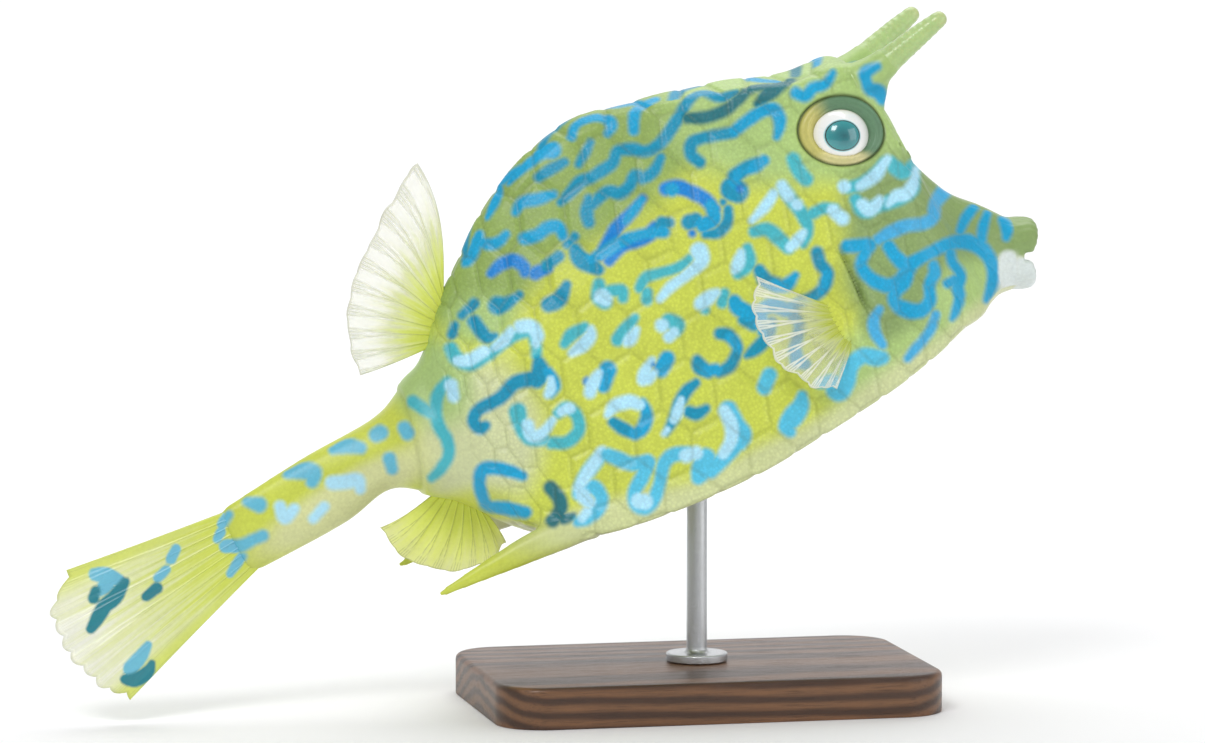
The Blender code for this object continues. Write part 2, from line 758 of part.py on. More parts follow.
def stand_rod_profile():
    """Half the outline of the rod and its flange, from the top's middle down to the foot's."""
    foot = BASE_THICKNESS + GAP
    collar = foot + ROD_FLANGE_THICKNESS
    top = BELLY_CLEARANCE + ROD_IN_BELLY
    outline = [
        (0, top), (ROD_RADIUS - 0.5, top), (ROD_RADIUS, top - 0.5), (ROD_RADIUS, collar + 0.8),
        (ROD_RADIUS + 0.8, collar), (ROD_FLANGE_RADIUS - 0.8, collar),
        (ROD_FLANGE_RADIUS, collar - 0.8), (ROD_FLANGE_RADIUS, foot), (0, foot),
    ]
    mesh = bpy.data.meshes.new("stand_rod")
    mesh.from_pydata([(r * UNIT, 0, z * UNIT) for r, z in outline], [(i, i + 1) for i in range(8)], [])
    return mesh


def turned(obj, steps=24):
    """Turns an object's profile round its upright axis."""
    screw = obj.modifiers.new("turn", "SCREW")
    screw.steps = screw.render_steps = steps
    screw.use_merge_vertices = True
    screw.merge_threshold = 1e-5
    screw.use_smooth_shade = True


def build_stand(wood, steel):
    """The flat base and the rod that goes up into the belly. Returns the cutter of the rod's pocket."""
    link("stand_base", stand_base_mesh(), wood, smooth_angle=30)
    turned(link("stand_rod", stand_rod_profile(), steel))
    below, above = Vector((0, 0, BELLY_CLEARANCE - 20)), Vector((0, 0, BELLY_CLEARANCE + ROD_IN_BELLY + GAP))
    return link("rod_pocket", cylinder("rod_pocket", below, above, ROD_RADIUS + GAP, 24), steel)


def main():
    """Builds every node."""
    clear_scene()
    home = bpy.data.collections.new("scrawled_cowfish")
    bpy.context.scene.collection.children.link(home)
    skin = finish("skin", SKIN, 0.45)
    horn = finish("horn", HORN_COLOUR, 0.4)
    fin = finish("fin", FIN_COLOUR, 0.4)
    lip = finish("lip", LIP_COLOUR, 0.5)
    eye = finish("eye", EYE_COLOUR, 0.1)
    wood = finish("wood", WOOD, 0.4)
    steel = finish("steel", STEEL, 0.3, 1.0)

    foot = stand_origin()
    pose = bpy.data.objects.new("pose", None)
    home.objects.link(pose)
    pose.rotation_euler = (0, -PITCH, 0)
    pose.location = Vector((-foot.x, 0, BELLY_CLEARANCE - foot.z)) * UNIT

    def tool(mesh):
        return link(mesh.name, mesh, skin, pose)

    carapace = link("carapace", carapace_mesh(), skin, pose)
    head = link("head", head_mesh(), skin, pose)
    stalk = link("tail_stalk", stalk_mesh(), skin, pose)

    carapace_cuts, head_cuts, stalk_cuts, head_joins = [], [], [], []
    for name, fan, cuts in (("dorsal_fin", DORSAL, carapace_cuts), ("anal_fin", ANAL, carapace_cuts), ("tail_fin", TAIL, stalk_cuts)):
        made, slot = fan_meshes(name, fan)
        link(name, made, fin, pose)
        cuts.append(tool(slot))
    for side, word in ((1, "left"), (-1, "right")):
        spine = pectoral_spine(side)
        sunk = PECTORAL_SUNK / max(PECTORAL_LENGTHS)
        link(f"pectoral_fin_{word}", vane("pectoral", spine, 0.8, PECTORAL_RAYS, sunk), fin, pose)
        carapace_cuts.append(tool(vane("pectoral_slot", spine, 0.8, PECTORAL_RAYS, sunk, slot=True)))

        path, radii = smooth_through(mirrored(SPINE_PATH, side), SPINE_RADII, 9)
        link(f"keel_spine_{word}", taper("spine", path, radii), horn, pose)
        carapace_cuts.append(tool(taper("spine_pocket", path[:6], radii[:6], grow=GAP)))

        path, radii = smooth_through(mirrored(HORN_PATH, side), HORN_RADII, 9)
        link(f"horn_{word}", taper("horn", path, radii), horn, pose)
        head_cuts.append(tool(taper("horn_pocket", path[:6], radii[:6], grow=GAP)))

        centre, look = eye_frame(side)
        link(f"eye_{word}", ball("eye", centre, EYE_RADIUS), eye, pose)
        head_cuts.append(tool(ball("eye_socket", centre, EYE_RADIUS + GAP)))
        rim_centre = centre + look * (EYE_RADIUS - EYE_BULGE)
        head_joins.append(tool(torus("orbit", rim_centre, look, (ORBIT_RADIUS, ORBIT_RADIUS), ORBIT_RIM)))

        for along, up in NOSTRILS:
            point, normal = flank(along, up, side)
            head_joins.append(tool(cylinder("nostril", point - normal, point + normal * NOSTRIL_RAISE, NOSTRIL_RADIUS)))
            head_cuts.append(tool(cylinder("nostril_hole", point - normal * 0.6, point + normal * 2, NOSTRIL_HOLE, 8)))
        head_cuts.append(tool(gill_cutter(side)))

    for word, upper in (("upper_lip", True), ("lower_lip", False)):
        made = link(word, lip_ring(), lip, pose)
        boolean(made, [tool(lip_box(upper, 0.0))], "INTERSECT")
    head_cuts.append(tool(lip_ring(GAP)))

    carapace_cuts.append(build_stand(wood, steel))

    boolean(head, head_joins, "UNION")
    boolean(head, head_cuts, "DIFFERENCE")
    boolean(carapace, carapace_cuts, "DIFFERENCE")
    boolean(stalk, stalk_cuts, "DIFFERENCE")


main()
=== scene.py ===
"""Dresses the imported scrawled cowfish: one skin, its fins, horns and eyes, the display stand and the studio.

Shapes are worked out in the fish's own frame in millimetres: "along" runs from the tail to the
mouth, "side" to the fish's left and "up" from the level of the mouth. BodyFrame turns them into the
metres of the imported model. The scrawled markings are placed in a flat side view of the fish.
"""

import functools
import logging
import math
from dataclasses import dataclass, field
from enum import Enum
from typing import Any, Sequence, Union

import bmesh
import bpy
import numpy as np
from mathutils import Matrix, Vector
from mathutils.kdtree import KDTree

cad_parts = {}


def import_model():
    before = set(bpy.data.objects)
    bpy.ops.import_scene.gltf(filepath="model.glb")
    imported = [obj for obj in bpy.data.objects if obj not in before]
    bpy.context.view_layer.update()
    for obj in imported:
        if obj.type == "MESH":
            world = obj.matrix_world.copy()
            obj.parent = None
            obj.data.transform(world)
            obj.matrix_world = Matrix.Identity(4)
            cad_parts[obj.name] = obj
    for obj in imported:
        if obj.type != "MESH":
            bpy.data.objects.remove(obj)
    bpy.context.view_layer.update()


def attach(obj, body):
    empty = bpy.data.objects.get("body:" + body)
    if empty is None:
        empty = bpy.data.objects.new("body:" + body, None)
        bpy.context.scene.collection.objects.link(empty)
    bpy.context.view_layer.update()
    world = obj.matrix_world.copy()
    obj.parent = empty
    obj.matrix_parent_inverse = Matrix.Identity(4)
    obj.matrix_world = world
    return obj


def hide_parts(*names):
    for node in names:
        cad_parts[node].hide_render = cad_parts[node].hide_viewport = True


LOG = logging.getLogger("cowfish")
Rows = np.ndarray
Mesh = bpy.types.Mesh
Faces = list[tuple[int, ...]]
Screen = tuple[int, int, int]
Colour = tuple[float, float, float, float]
Plug = Union["Wire", float, Colour]
SIDES = ((1, "left"), (-1, "right"))


def linear(red: float, green: float, blue: float) -> Colour:
    """Turns a screen colour into a linear one.

    Args:
        red: Red from 0 to 255.
        green: Green from 0 to 255.
        blue: Blue from 0 to 255.

    Returns:
        The colour as linear red, green, blue and an alpha of one.
    """
    shares = [value / 255 for value in (red, green, blue)]
    bent = [v / 12.92 if v <= 0.04045 else ((v + 0.055) / 1.055) ** 2.4 for v in shares]
    return (bent[0], bent[1], bent[2], 1.0)


def laid(under: Rows, colour: Screen, share: Rows) -> Rows:
    """Lays one colour over others.

    Args:
        under: Rows of linear red, green and blue.
        colour: The screen colour that goes over them.
        share: How much of it each row takes, from 0 to 1.

    Returns:
        The new linear colours.
    """
    return under + (np.array(linear(*colour)[:3]) - under) * share[:, None]


def ease(values: Rows, low: float, high: float) -> Rows:
    """Rises smoothly from 0 at low to 1 at high.

    Args:
        values: The numbers to ease.
        low: Where the result is 0.
        high: Where the result is 1, which may be below low.

    Returns:
        Numbers from 0 to 1.
    """
    share = np.clip((np.asarray(values, float) - low) / (high - low), 0, 1)
    return share * share * (3 - 2 * share)


def hump(values: Rows, centre: float, width: float) -> Rows:
    """Gives a smooth hump: 1 at its centre, and near 0 from twice its width."""
    return np.exp(-(((np.asarray(values, float) - centre) / width) ** 2))


def unit(vector: Rows) -> Rows:
    """Gives a direction the length of one."""
    return vector / np.linalg.norm(vector)


def catmull(rows: Rows, places: Rows) -> Rows:
    """Reads a smooth curve through rows of numbers.

    Args:
        rows: The rows that the curve passes through.
        places: Where to read it, as fractional row numbers.

    Returns:
        One row for each place.
    """
    last = len(rows) - 1
    start = np.clip(np.floor(places).astype(int), 0, last - 1)
    t = (places - start)[:, None]
    before, a, b, after = (rows[np.clip(start + i, 0, last)] for i in (-1, 0, 1, 2))
    leave, arrive = (b - before) / 2, (after - a) / 2
    return (
        a * (2 * t**3 - 3 * t**2 + 1) + leave * (t**3 - 2 * t**2 + t)
        + b * (3 * t**2 - 2 * t**3) + arrive * (t**3 - t**2)
    )


@dataclass(frozen=True)
class BodyFrame:
    """The fish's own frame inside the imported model."""

    pitch: float = math.radians(26.5)
    shift: tuple[float, float, float] = (-170.695, 0.0, -3.545)

    def turn(self) -> Rows:
        """Gives the matrix that pitches the fish nose up."""
        c, s = math.cos(self.pitch), math.sin(self.pitch)
        return np.array([[c, 0, -s], [0, 1, 0], [s, 0, c]])

    def to_world(self, points: Rows) -> Rows:
        """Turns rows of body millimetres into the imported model's metres."""
        return (np.asarray(points, float) @ self.turn().T + np.array(self.shift)) / 1000

    def direction(self, world: Sequence[float]) -> Rows:
        """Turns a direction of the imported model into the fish's frame."""
        return self.turn().T @ np.array(world, float)


@dataclass(frozen=True)
class SideView:
    """A flat view of the fish's right side, in which the markings are placed."""

    azimuth: float = math.radians(-12.5)
    elevation: float = math.radians(6)
    distance: float = 1800.0
    scale: float = 3.442
    centre: tuple[float, float] = (602.5, 371.5)
    width: float = 1205.0
    target: tuple[float, float, float] = (-1.5, 0.0, 108.4)
    offset: tuple[float, float] = (-26.06, -11.27)

    def axes(self) -> tuple[Rows, Rows, Rows]:
        """Gives the view's own directions.

        Returns:
            Right, up and outwards.
        """
        a, e = self.azimuth, self.elevation
        right = np.array([math.cos(a), math.sin(a), 0])
        out = np.array([math.sin(a) * math.cos(e), -math.cos(a) * math.cos(e), math.sin(e)])
        return right, np.cross(out, right), out

    def middle(self) -> Rows:
        """Gives the point in the view's middle, in millimetres."""
        right, up, _ = self.axes()
        return np.array(self.target) + right * self.offset[0] + up * self.offset[1]

    def project(self, points: Rows) -> Rows:
        """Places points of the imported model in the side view.

        Args:
            points: Rows of x, y and z in metres.

        Returns:
            Rows of the view's own across and down.
        """
        right, up, out = self.axes()
        reach = points * 1000 - self.middle()
        size = self.scale * self.distance / (self.distance - reach @ out)
        return np.stack([self.centre[0] + reach @ right * size, self.centre[1] - reach @ up * size], -1)


class Tone(Enum):
    """The colours of the scrawled markings."""

    MID = (41, 166, 211)
    TEAL = (31, 151, 185)
    PALE = (179, 228, 248)
    CYAN = (86, 186, 198)
    CORN = (84, 176, 222)
    ROYAL = (28, 138, 213)
    SKY = (97, 195, 226)
    SLATE = (62, 122, 130)
    TAIL = (110, 189, 214)
    DEEP = (30, 131, 146)
    CHALK = (221, 230, 227)


class Ground(Enum):
    """The colours of the skin under the markings."""

    LIME = (204, 214, 94)
    OLIVE = (150, 175, 101)
    LEAF = (176, 203, 130)
    MOSS = (144, 168, 110)
    CREAM = (207, 214, 163)
    REAR = (209, 216, 168)
    COLLAR = (176, 203, 132)
    ROOT = (174, 202, 130)
    STALK = (216, 220, 162)
    LIP = (221, 228, 224)
    BELLY = (211, 216, 172)


@dataclass(frozen=True)
class Stroke:
    """One scrawl: points of across, down and half width, joined by a smooth curve."""

    tone: Tone
    points: tuple[tuple[float, float, float], ...]

    def curve(self) -> Rows:
        """Gives the smooth curve through the stroke's points.

        Returns:
            Rows of across, down and half width.
        """
        rows = np.array(self.points, float)
        if len(rows) == 1:
            rows = np.array([rows[0], rows[0] + (0.01, 0, 0)])
        return catmull(rows, np.linspace(0, len(rows) - 1, 5 * (len(rows) - 1) + 1))

    def edge(self, spots: Rows) -> Rows:
        """Measures how far spots lie outside the stroke's edge.

        Args:
            spots: Rows of across and down.

        Returns:
            One distance for each spot, below zero inside the stroke.
        """
        path = self.curve()
        found = np.full(len(spots), 1e3)
        for a, b in zip(path, path[1:]):
            line = b[:2] - a[:2]
            share = np.clip((spots - a[:2]) @ line / max(line @ line, 1e-9), 0, 1)
            away = spots - a[:2] - share[:, None] * line
            found = np.minimum(found, np.hypot(away[:, 0], away[:, 1]) - a[2] - share * (b[2] - a[2]))
        return found


def scrawls(*rows: tuple[Tone, Sequence[tuple[float, float, float]]]) -> tuple[Stroke, ...]:
    """Makes strokes from rows of a tone and its points."""
    return tuple(Stroke(tone, tuple(points)) for tone, points in rows)


M, T, P, C, F, R, S, D, A, E, W = Tone

FLANK_STROKES = scrawls(
    # back, from the dorsal fin forwards
    (M, [(494, 184, 5), (493, 199, 7), (486, 216, 4)]),
    (M, [(551, 150, 9), (541, 152, 8), (526, 163, 6.5), (507, 181, 4)]),
    (M, [(570, 136, 5), (575, 123, 5.5), (589, 116, 6), (603, 117, 6), (610, 125, 6), (606, 133, 4)]),
    (M, [(653, 95, 5), (641, 102, 5.5), (633, 114, 6), (632, 130, 5.5)]),
    (T, [(735, 92, 4), (718, 97, 6), (700, 91, 6), (688, 99, 6), (678, 115, 6), (668, 131, 6.5),
        (655, 146, 6), (643, 151, 6), (630, 149, 6.5), (616, 151, 6), (611, 163, 6), (601, 170, 6.5),
        (590, 177, 6), (579, 181, 6.5), (569, 192, 6), (559, 202, 4)]),
    (T, [(589, 142, 4), (584, 152, 5), (577, 164, 4)]),
    (T, [(563, 162, 4.5), (550, 169, 6), (537, 177, 5)]),
    (M, [(552, 194, 4.5), (536, 199, 6.5), (521, 202, 6), (514, 212, 4)]),
    (T, [(659, 157, 4.5), (652, 171, 6), (641, 178, 6), (634, 175, 6.5), (627, 186, 6), (618, 193, 6.5),
        (607, 191, 6), (597, 198, 6), (591, 206, 4)]),
    (T, [(587, 199, 5), (585, 212, 7), (587, 222, 6)]),
    (M, [(523, 238, 6.5), (535, 235, 6.5), (547, 227, 6.5), (557, 227, 6.5), (562, 236, 5)]),
    (M, [(465, 260, 7), (472, 250, 7), (477, 235, 6)]),
    (M, [(474, 240, 6), (488, 244, 6), (498, 241, 5.5), (505, 234, 4)]),
    (R, [(490, 273, 4.5), (500, 264, 6.5), (512, 260, 7), (522, 266, 6.5), (524, 272, 5.5)]),
    (T, [(573, 236, 4.5), (566, 244, 5)]),
    (R, [(534, 273, 7), (546, 267, 6)]),
    (T, [(545, 265, 6), (557, 256, 6)]),
    # the forked scrawl in the middle of the back
    (T, [(573, 248, 6), (578, 258, 9), (588, 264, 9), (597, 269, 6)]),
    (R, [(641, 198, 4.5), (630, 212, 6), (616, 226, 7), (607, 241, 7), (600, 254, 7)]),
    (R, [(655, 228, 8), (640, 239, 7), (621, 245, 7), (607, 260, 6)]),
    (M, [(640, 199, 3.5), (632, 211, 5), (624, 221, 3.5)]),
    (M, [(662, 231, 6.5), (640, 234, 5.5), (621, 240, 6.5), (605, 250, 7), (590, 258, 5)]),
    (T, [(660, 223, 7), (667, 222, 6)]),
    (M, [(662, 231, 5), (655, 234, 4)]),
    # behind the eye
    (D, [(787, 75, 6.5), (777, 85, 8), (767, 93, 8), (755, 104, 4)]),
    (D, [(766, 86, 6), (748, 88, 6), (738, 98, 6), (723, 110, 6.5), (705, 117, 6.5), (686, 118, 6)]),
    (T, [(698, 162, 6), (689, 154, 6.5), (690, 143, 6.5), (700, 138, 6), (715, 135, 6.5), (731, 132, 6.5)]),
    (M, [(733, 130, 6), (748, 119, 6.5), (762, 110, 6.5), (773, 110, 7), (778, 122, 6.5), (775, 136, 4)]),
    (M, [(831, 73, 3.5), (823, 84, 5.5), (811, 88, 6), (803, 96, 6), (794, 93, 6)]),
    (M, [(875, 66, 4.5), (864, 72, 7), (864, 80, 6), (868, 88, 7), (877, 92, 8), (880, 99, 6)]),
    (T, [(756, 162, 6), (744, 168, 7), (733, 176, 8)]),
    (T, [(731, 189, 13), (735, 191, 12)]),
    (M, [(762, 160, 5.5), (754, 166, 6), (746, 171, 4)]),
    (M, [(737, 172, 4), (732, 182, 5)]),
    (R, [(738, 188, 4)]),
    (R, [(664, 189, 7), (674, 187, 8), (686, 190, 7.5), (703, 199, 7), (712, 209, 7)]),
    (M, [(670, 190, 7)]),
    (T, [(687, 222, 8), (694, 220, 8)]),
    (R, [(690, 233, 4)]),
    (T, [(726, 209, 5), (725, 222, 6), (716, 232, 6), (703, 234, 4.5)]),
    (T, [(721, 202, 4)]),
    (M, [(709, 206, 6.5), (712, 218, 7.5), (701, 225, 8)]),
    # the middle of the flank
    (C, [(638, 287, 5.5), (644, 277, 6), (660, 272, 5.5), (676, 267, 5.5), (688, 258, 4.5)]),
    (C, [(645, 292, 6), (645, 299, 6)]),
    (P, [(697, 251, 9), (699, 261, 7.5), (684, 275, 5.5), (669, 286, 5.5), (658, 298, 4)]),
    (C, [(597, 283, 6), (598, 295, 9), (603, 301, 8)]),
    (C, [(605, 291, 6), (619, 290, 6.5), (621, 297, 5.5)]),
    (P, [(600, 296, 8), (604, 299, 7)]),
    (T, [(547, 304, 8), (557, 299, 8.5), (565, 285, 5)]),
    (C, [(782, 190, 7), (794, 205, 7), (803, 219, 7), (806, 232, 5), (801, 243, 5)]),
    (P, [(772, 193, 5), (763, 206, 5.5), (750, 220, 3.5)]),
    (P, [(780, 186, 6), (786, 195, 7)]),
    (P, [(795, 204, 6)]),
    (C, [(752, 231, 6), (765, 229, 7), (777, 238, 7.5), (786, 247, 7)]),
    (P, [(801, 232, 4), (795, 240, 6), (788, 247, 5)]),
    (C, [(809, 214, 6), (821, 208, 6), (832, 209, 6)]),
    (P, [(831, 210, 6.5), (840, 218, 7)]),
    (C, [(791, 159, 7), (797, 171, 7.5), (804, 179, 7)]),
    (C, [(745, 248, 5.5), (746, 262, 8), (736, 273, 6)]),
    (P, [(739, 252, 4), (736, 263, 6.5), (732, 271, 3)]),
    (T, [(757, 270, 6.5), (764, 280, 8), (775, 285, 8)]),
    (M, [(775, 286, 6.5), (785, 284, 7), (793, 275, 4)]),
    (T, [(815, 252, 6.5), (818, 263, 6.5), (825, 273, 6.5), (822, 286, 6.5), (811, 296, 6),
        (797, 302, 6), (787, 308, 7)]),
    (M, [(824, 274, 5), (820, 287, 5)]),
    (T, [(741, 319, 6), (752, 324, 7)]),
    (T, [(769, 322, 6), (765, 336, 7), (753, 349, 6.5), (744, 355, 3.5)]),
    (T, [(790, 313, 7), (797, 324, 6.5), (795, 338, 6), (792, 350, 7)]),
    (M, [(732, 301, 7), (736, 307, 8.5), (747, 313, 8.5), (758, 318, 8)]),
    (M, [(758, 318, 6), (760, 331, 5)]),
    (M, [(757, 312, 7), (769, 305, 8), (783, 309, 8)]),
    (T, [(803, 364, 6), (800, 362, 7)]),
    (M, [(793, 352, 7), (795, 361, 7.5)]),
    (T, [(718, 333, 6.5), (727, 335, 7), (735, 346, 6), (733, 356, 6), (727, 366, 6.5), (717, 371, 6)]),
    (M, [(728, 337, 5.5), (735, 347, 5)]),
    (T, [(695, 359, 5), (698, 366, 8), (706, 371, 7)]),
    (M, [(706, 370, 6.5), (714, 369, 6.5)]),
    (C, [(722, 293, 5.5), (720, 302, 6)]),
    (C, [(703, 309, 5)]),
    (P, [(699, 303, 7), (707, 297, 7), (715, 292, 4)]),
    (C, [(667, 321, 8.5), (675, 324, 8), (673, 330, 7)]),
    (P, [(660, 325, 7)]),
    (P, [(667, 336, 6), (672, 332, 5.5)]),
    (C, [(633, 317, 4.5), (623, 330, 7.5), (616, 339, 7)]),
    (P, [(634, 329, 4), (629, 338, 6.5), (624, 342, 4)]),
    (M, [(665, 358, 8), (659, 369, 8)]),
    (P, [(650, 360, 4), (643, 372, 6.5), (641, 379, 6)]),
    (P, [(646, 378, 6), (652, 372, 4.5)]),
    (R, [(652, 364, 2.5)]),
    (C, [(563, 343, 5), (570, 334, 7), (583, 327, 5.5)]),
    (P, [(570, 352, 4), (580, 345, 7), (588, 336, 6.5), (589, 328, 3.5)]),
    (M, [(606, 369, 9), (601, 384, 8)]),
    (R, [(586, 381, 5)]),
    (P, [(597, 372, 4), (591, 383, 7), (588, 392, 6)]),
    # the loop low on the flank
    (T, [(611, 421, 5.5), (620, 427, 7), (630, 432, 6.5)]),
    (M, [(640, 402, 5), (645, 414, 6.5), (641, 427, 7), (633, 433, 6.5)]),
    (P, [(606, 414, 4), (613, 405, 6.5), (628, 401, 7), (637, 404, 6)]),
    (T, [(694, 382, 4.5), (684, 391, 6.5), (677, 403, 6.5), (672, 418, 6), (664, 432, 4)]),
    (T, [(687, 411, 6.5), (695, 413, 7), (704, 408, 4.5)]),
    (P, [(679, 399, 3.5), (676, 411, 6), (672, 419, 4.5)]),
    (P, [(665, 429, 3.5), (662, 433, 3)]),
    # rear of the flank
    (T, [(473, 303, 5.5), (461, 315, 4.5)]),
    (T, [(454, 325, 4.5), (451, 334, 5)]),
    (T, [(496, 305, 9.5), (505, 303, 7), (518, 294, 4)]),
    (T, [(473, 321, 7), (480, 331, 7), (486, 337, 6.5), (494, 336, 4)]),
    (C, [(450, 348, 7), (456, 358, 7.5), (468, 364, 6.5), (480, 359, 6.5), (493, 349, 6.5),
        (511, 336, 6.5), (528, 332, 6), (534, 342, 6), (535, 355, 5.5)]),
    (P, [(456, 361, 5), (469, 359, 6.5), (484, 350, 5.5)]),
    (P, [(494, 346, 4.5), (502, 340, 6), (510, 330, 4.5)]),
    (P, [(519, 326, 6.5), (530, 326, 7), (536, 335, 6.5), (534, 343, 4)]),
    (T, [(537, 361, 6), (539, 372, 10), (535, 379, 9)]),
    (T, [(532, 378, 8), (514, 382, 7.5), (500, 396, 7), (488, 403, 7), (476, 410, 6.5), (472, 420, 6.5),
        (478, 427, 7), (484, 425, 5.5)]),
    (M, [(547, 371, 5), (554, 384, 5.5), (549, 394, 4)]),
    (P, [(549, 379, 4), (549, 388, 5.5), (546, 394, 4)]),
    (C, [(446, 381, 5.5), (437, 393, 6.5), (434, 410, 6.5), (438, 426, 6.5), (446, 440, 6.5),
        (447, 455, 6), (440, 467, 6), (431, 475, 4.5)]),
    (C, [(413, 402, 6.5), (422, 408, 6.5), (430, 413, 6)]),
    (P, [(450, 385, 7), (452, 396, 6)]),
    (C, [(516, 411, 9), (519, 424, 8), (528, 437, 8), (542, 438, 7)]),
    (C, [(556, 413, 5.5), (565, 407, 7), (575, 415, 6.5), (577, 429, 6.5), (566, 441, 6.5),
        (550, 442, 6.5)]),
    (P, [(526, 424, 6), (530, 435, 6.5), (541, 432, 5.5), (551, 419, 4)]),
    (P, [(560, 411, 5), (568, 407, 6)]),
    (M, [(521, 475, 5), (508, 470, 6.5), (492, 467, 7), (481, 469, 7), (478, 481, 6.5), (481, 495, 6.5),
        (487, 505, 6.5), (505, 507, 7), (524, 511, 6.5)]),
    (D, [(549, 487, 7.5), (557, 497, 7.5), (559, 508, 7.5), (551, 520, 7)]),
    (D, [(562, 518, 6), (571, 516, 4.5)]),
    # low flank, over the keel
    (S, [(598, 456, 7), (587, 470, 7.5), (578, 484, 6), (577, 494, 6), (590, 486, 8), (599, 496, 7.5),
        (596, 507, 8), (585, 517, 7), (576, 521, 5)]),
    (P, [(600, 451, 6), (592, 463, 6.5), (584, 475, 6.5), (576, 487, 5)]),
    (P, [(581, 495, 7.5), (587, 501, 7)]),
    (P, [(585, 511, 5), (580, 518, 4)]),
    (S, [(606, 454, 7), (616, 458, 7.5), (630, 463, 7.5), (645, 461, 8)]),
    (S, [(646, 462, 8), (640, 477, 7.5), (633, 490, 7), (634, 503, 7), (643, 507, 7), (652, 498, 7),
        (658, 481, 6.5), (662, 463, 7), (672, 454, 7.5), (688, 453, 7.5)]),
    (P, [(637, 500, 8), (643, 501, 8)]),
    (S, [(703, 458, 11), (700, 469, 11), (696, 477, 7)]),
    (S, [(708, 470, 8), (722, 457, 8), (733, 445, 8)]),
    (P, [(684, 455, 7), (694, 452, 7)]),
    (S, [(726, 409, 9), (734, 424, 9), (741, 434, 9), (738, 443, 7)]),
    (P, [(722, 410, 6), (729, 424, 7), (729, 439, 6.5), (721, 453, 5.5)]),
    (S, [(767, 375, 8), (762, 387, 7.5)]),
    (S, [(800, 395, 5.5), (798, 406, 9), (790, 417, 10.5), (783, 426, 7), (788, 431, 6)]),
    (S, [(817, 383, 5), (829, 381, 8), (836, 390, 11), (844, 381, 9), (847, 370, 8), (852, 361, 8),
        (862, 355, 8), (873, 357, 8.5), (880, 357, 7)]),
    # face and snout
    (C, [(846, 187, 6), (858, 184, 6.5), (872, 174, 6), (884, 161, 6), (893, 167, 8), (902, 172, 7),
        (914, 164, 8)]),
    (C, [(853, 199, 6), (862, 210, 8), (876, 205, 7), (894, 199, 7.5), (909, 190, 7), (913, 176, 5)]),
    (P, [(842, 186, 6.5)]),
    (P, [(858, 186, 5), (873, 175, 6.5), (885, 158, 4)]),
    (P, [(914, 170, 4), (910, 184, 6), (904, 193, 7), (893, 196, 6), (886, 204, 3)]),
    (P, [(860, 204, 6), (868, 209, 7.5), (878, 199, 4.5)]),
    (F, [(942, 191, 8), (933, 203, 6.5), (931, 216, 6.5), (921, 223, 6.5), (905, 225, 6.5),
        (890, 231, 7), (876, 239, 5.5)]),
    (M, [(845, 246, 7), (858, 245, 7), (868, 244, 6), (862, 254, 6), (859, 266, 6.5), (868, 278, 7),
        (884, 285, 7.5), (898, 281, 8), (906, 268, 8)]),
    (M, [(886, 246, 6.5), (894, 257, 7), (905, 264, 8), (917, 258, 6.5), (932, 250, 6.5), (948, 243, 7),
        (963, 241, 8), (978, 247, 8), (988, 259, 7), (991, 273, 6.5), (989, 287, 6), (984, 299, 4)]),
    (M, [(905, 270, 8), (901, 282, 7.5), (893, 291, 7), (892, 301, 6.5), (903, 309, 8), (918, 310, 7.5),
        (927, 300, 6.5), (927, 285, 6), (932, 273, 6.5), (931, 265, 5.5)]),
    (M, [(973, 206, 5), (964, 217, 5.5), (958, 230, 4.5)]),
    (M, [(986, 212, 4), (981, 226, 5.5), (979, 241, 5)]),
    (M, [(1001, 219, 5), (1005, 228, 6.5), (1004, 237, 4)]),
    (M, [(948, 252, 5), (950, 262, 5.5), (958, 274, 6), (955, 286, 6.5), (957, 297, 6), (953, 310, 5),
        (949, 318, 3)]),
    (M, [(945, 283, 5), (952, 280, 6)]),
    (F, [(877, 309, 4), (871, 321, 6), (873, 333, 6), (880, 344, 5)]),
    (F, [(933, 314, 4.5), (929, 327, 5), (921, 339, 5), (912, 349, 5), (905, 358, 4)]),
    (W, [(1006, 259, 9), (1007, 274, 10), (1016, 281, 10)]),
    (W, [(1022, 268, 9), (1028, 276, 11), (1034, 272, 10)]),
)
TAIL_STROKES = scrawls(
    (A, [(375, 434, 7.5), (379, 432, 8)]),
    (A, [(403, 427, 7), (406, 432, 7.5)]),
    (A, [(388, 458, 7), (391, 468, 6)]),
    (A, [(332, 449, 5), (345, 445, 8), (359, 447, 6.5)]),
    (A, [(287, 473, 5.5), (302, 470, 9), (312, 472, 9), (311, 481, 6.5)]),
    (P, [(331, 482, 7), (345, 481, 7.5), (356, 480, 7.5), (359, 488, 5.5)]),
    (P, [(279, 506, 6), (284, 516, 7.5), (293, 508, 5.5)]),
    (P, [(323, 506, 5.5), (312, 518, 5)]),
    (A, [(246, 501, 5), (258, 504, 8)]),
    (A, [(228, 514, 4.5), (222, 524, 5)]),
    (A, [(221, 532, 5), (217, 539, 4.5)]),
    (A, [(226, 546, 7), (240, 545, 7), (252, 539, 6), (262, 535, 6)]),
    (A, [(242, 556, 4.5), (236, 565, 5), (230, 574, 4)]),
    (A, [(97, 577, 6), (108, 577, 8), (120, 581, 6)]),
    (A, [(107, 586, 8), (102, 594, 4)]),
    (E, [(126, 582, 4.5), (116, 597, 7), (105, 607, 7), (97, 619, 7), (91, 629, 5)]),
    (E, [(97, 592, 5), (95, 600, 5.5)]),
    (A, [(176, 549, 5), (171, 559, 5.5)]),
    (A, [(166, 570, 5), (158, 578, 5)]),
    (E, [(157, 588, 6), (146, 597, 5)]),
    (A, [(148, 645, 4), (141, 656, 7), (131, 668, 8)]),
    (E, [(152, 663, 3.5), (147, 673, 7), (135, 680, 7.5), (125, 679, 5)]),
)
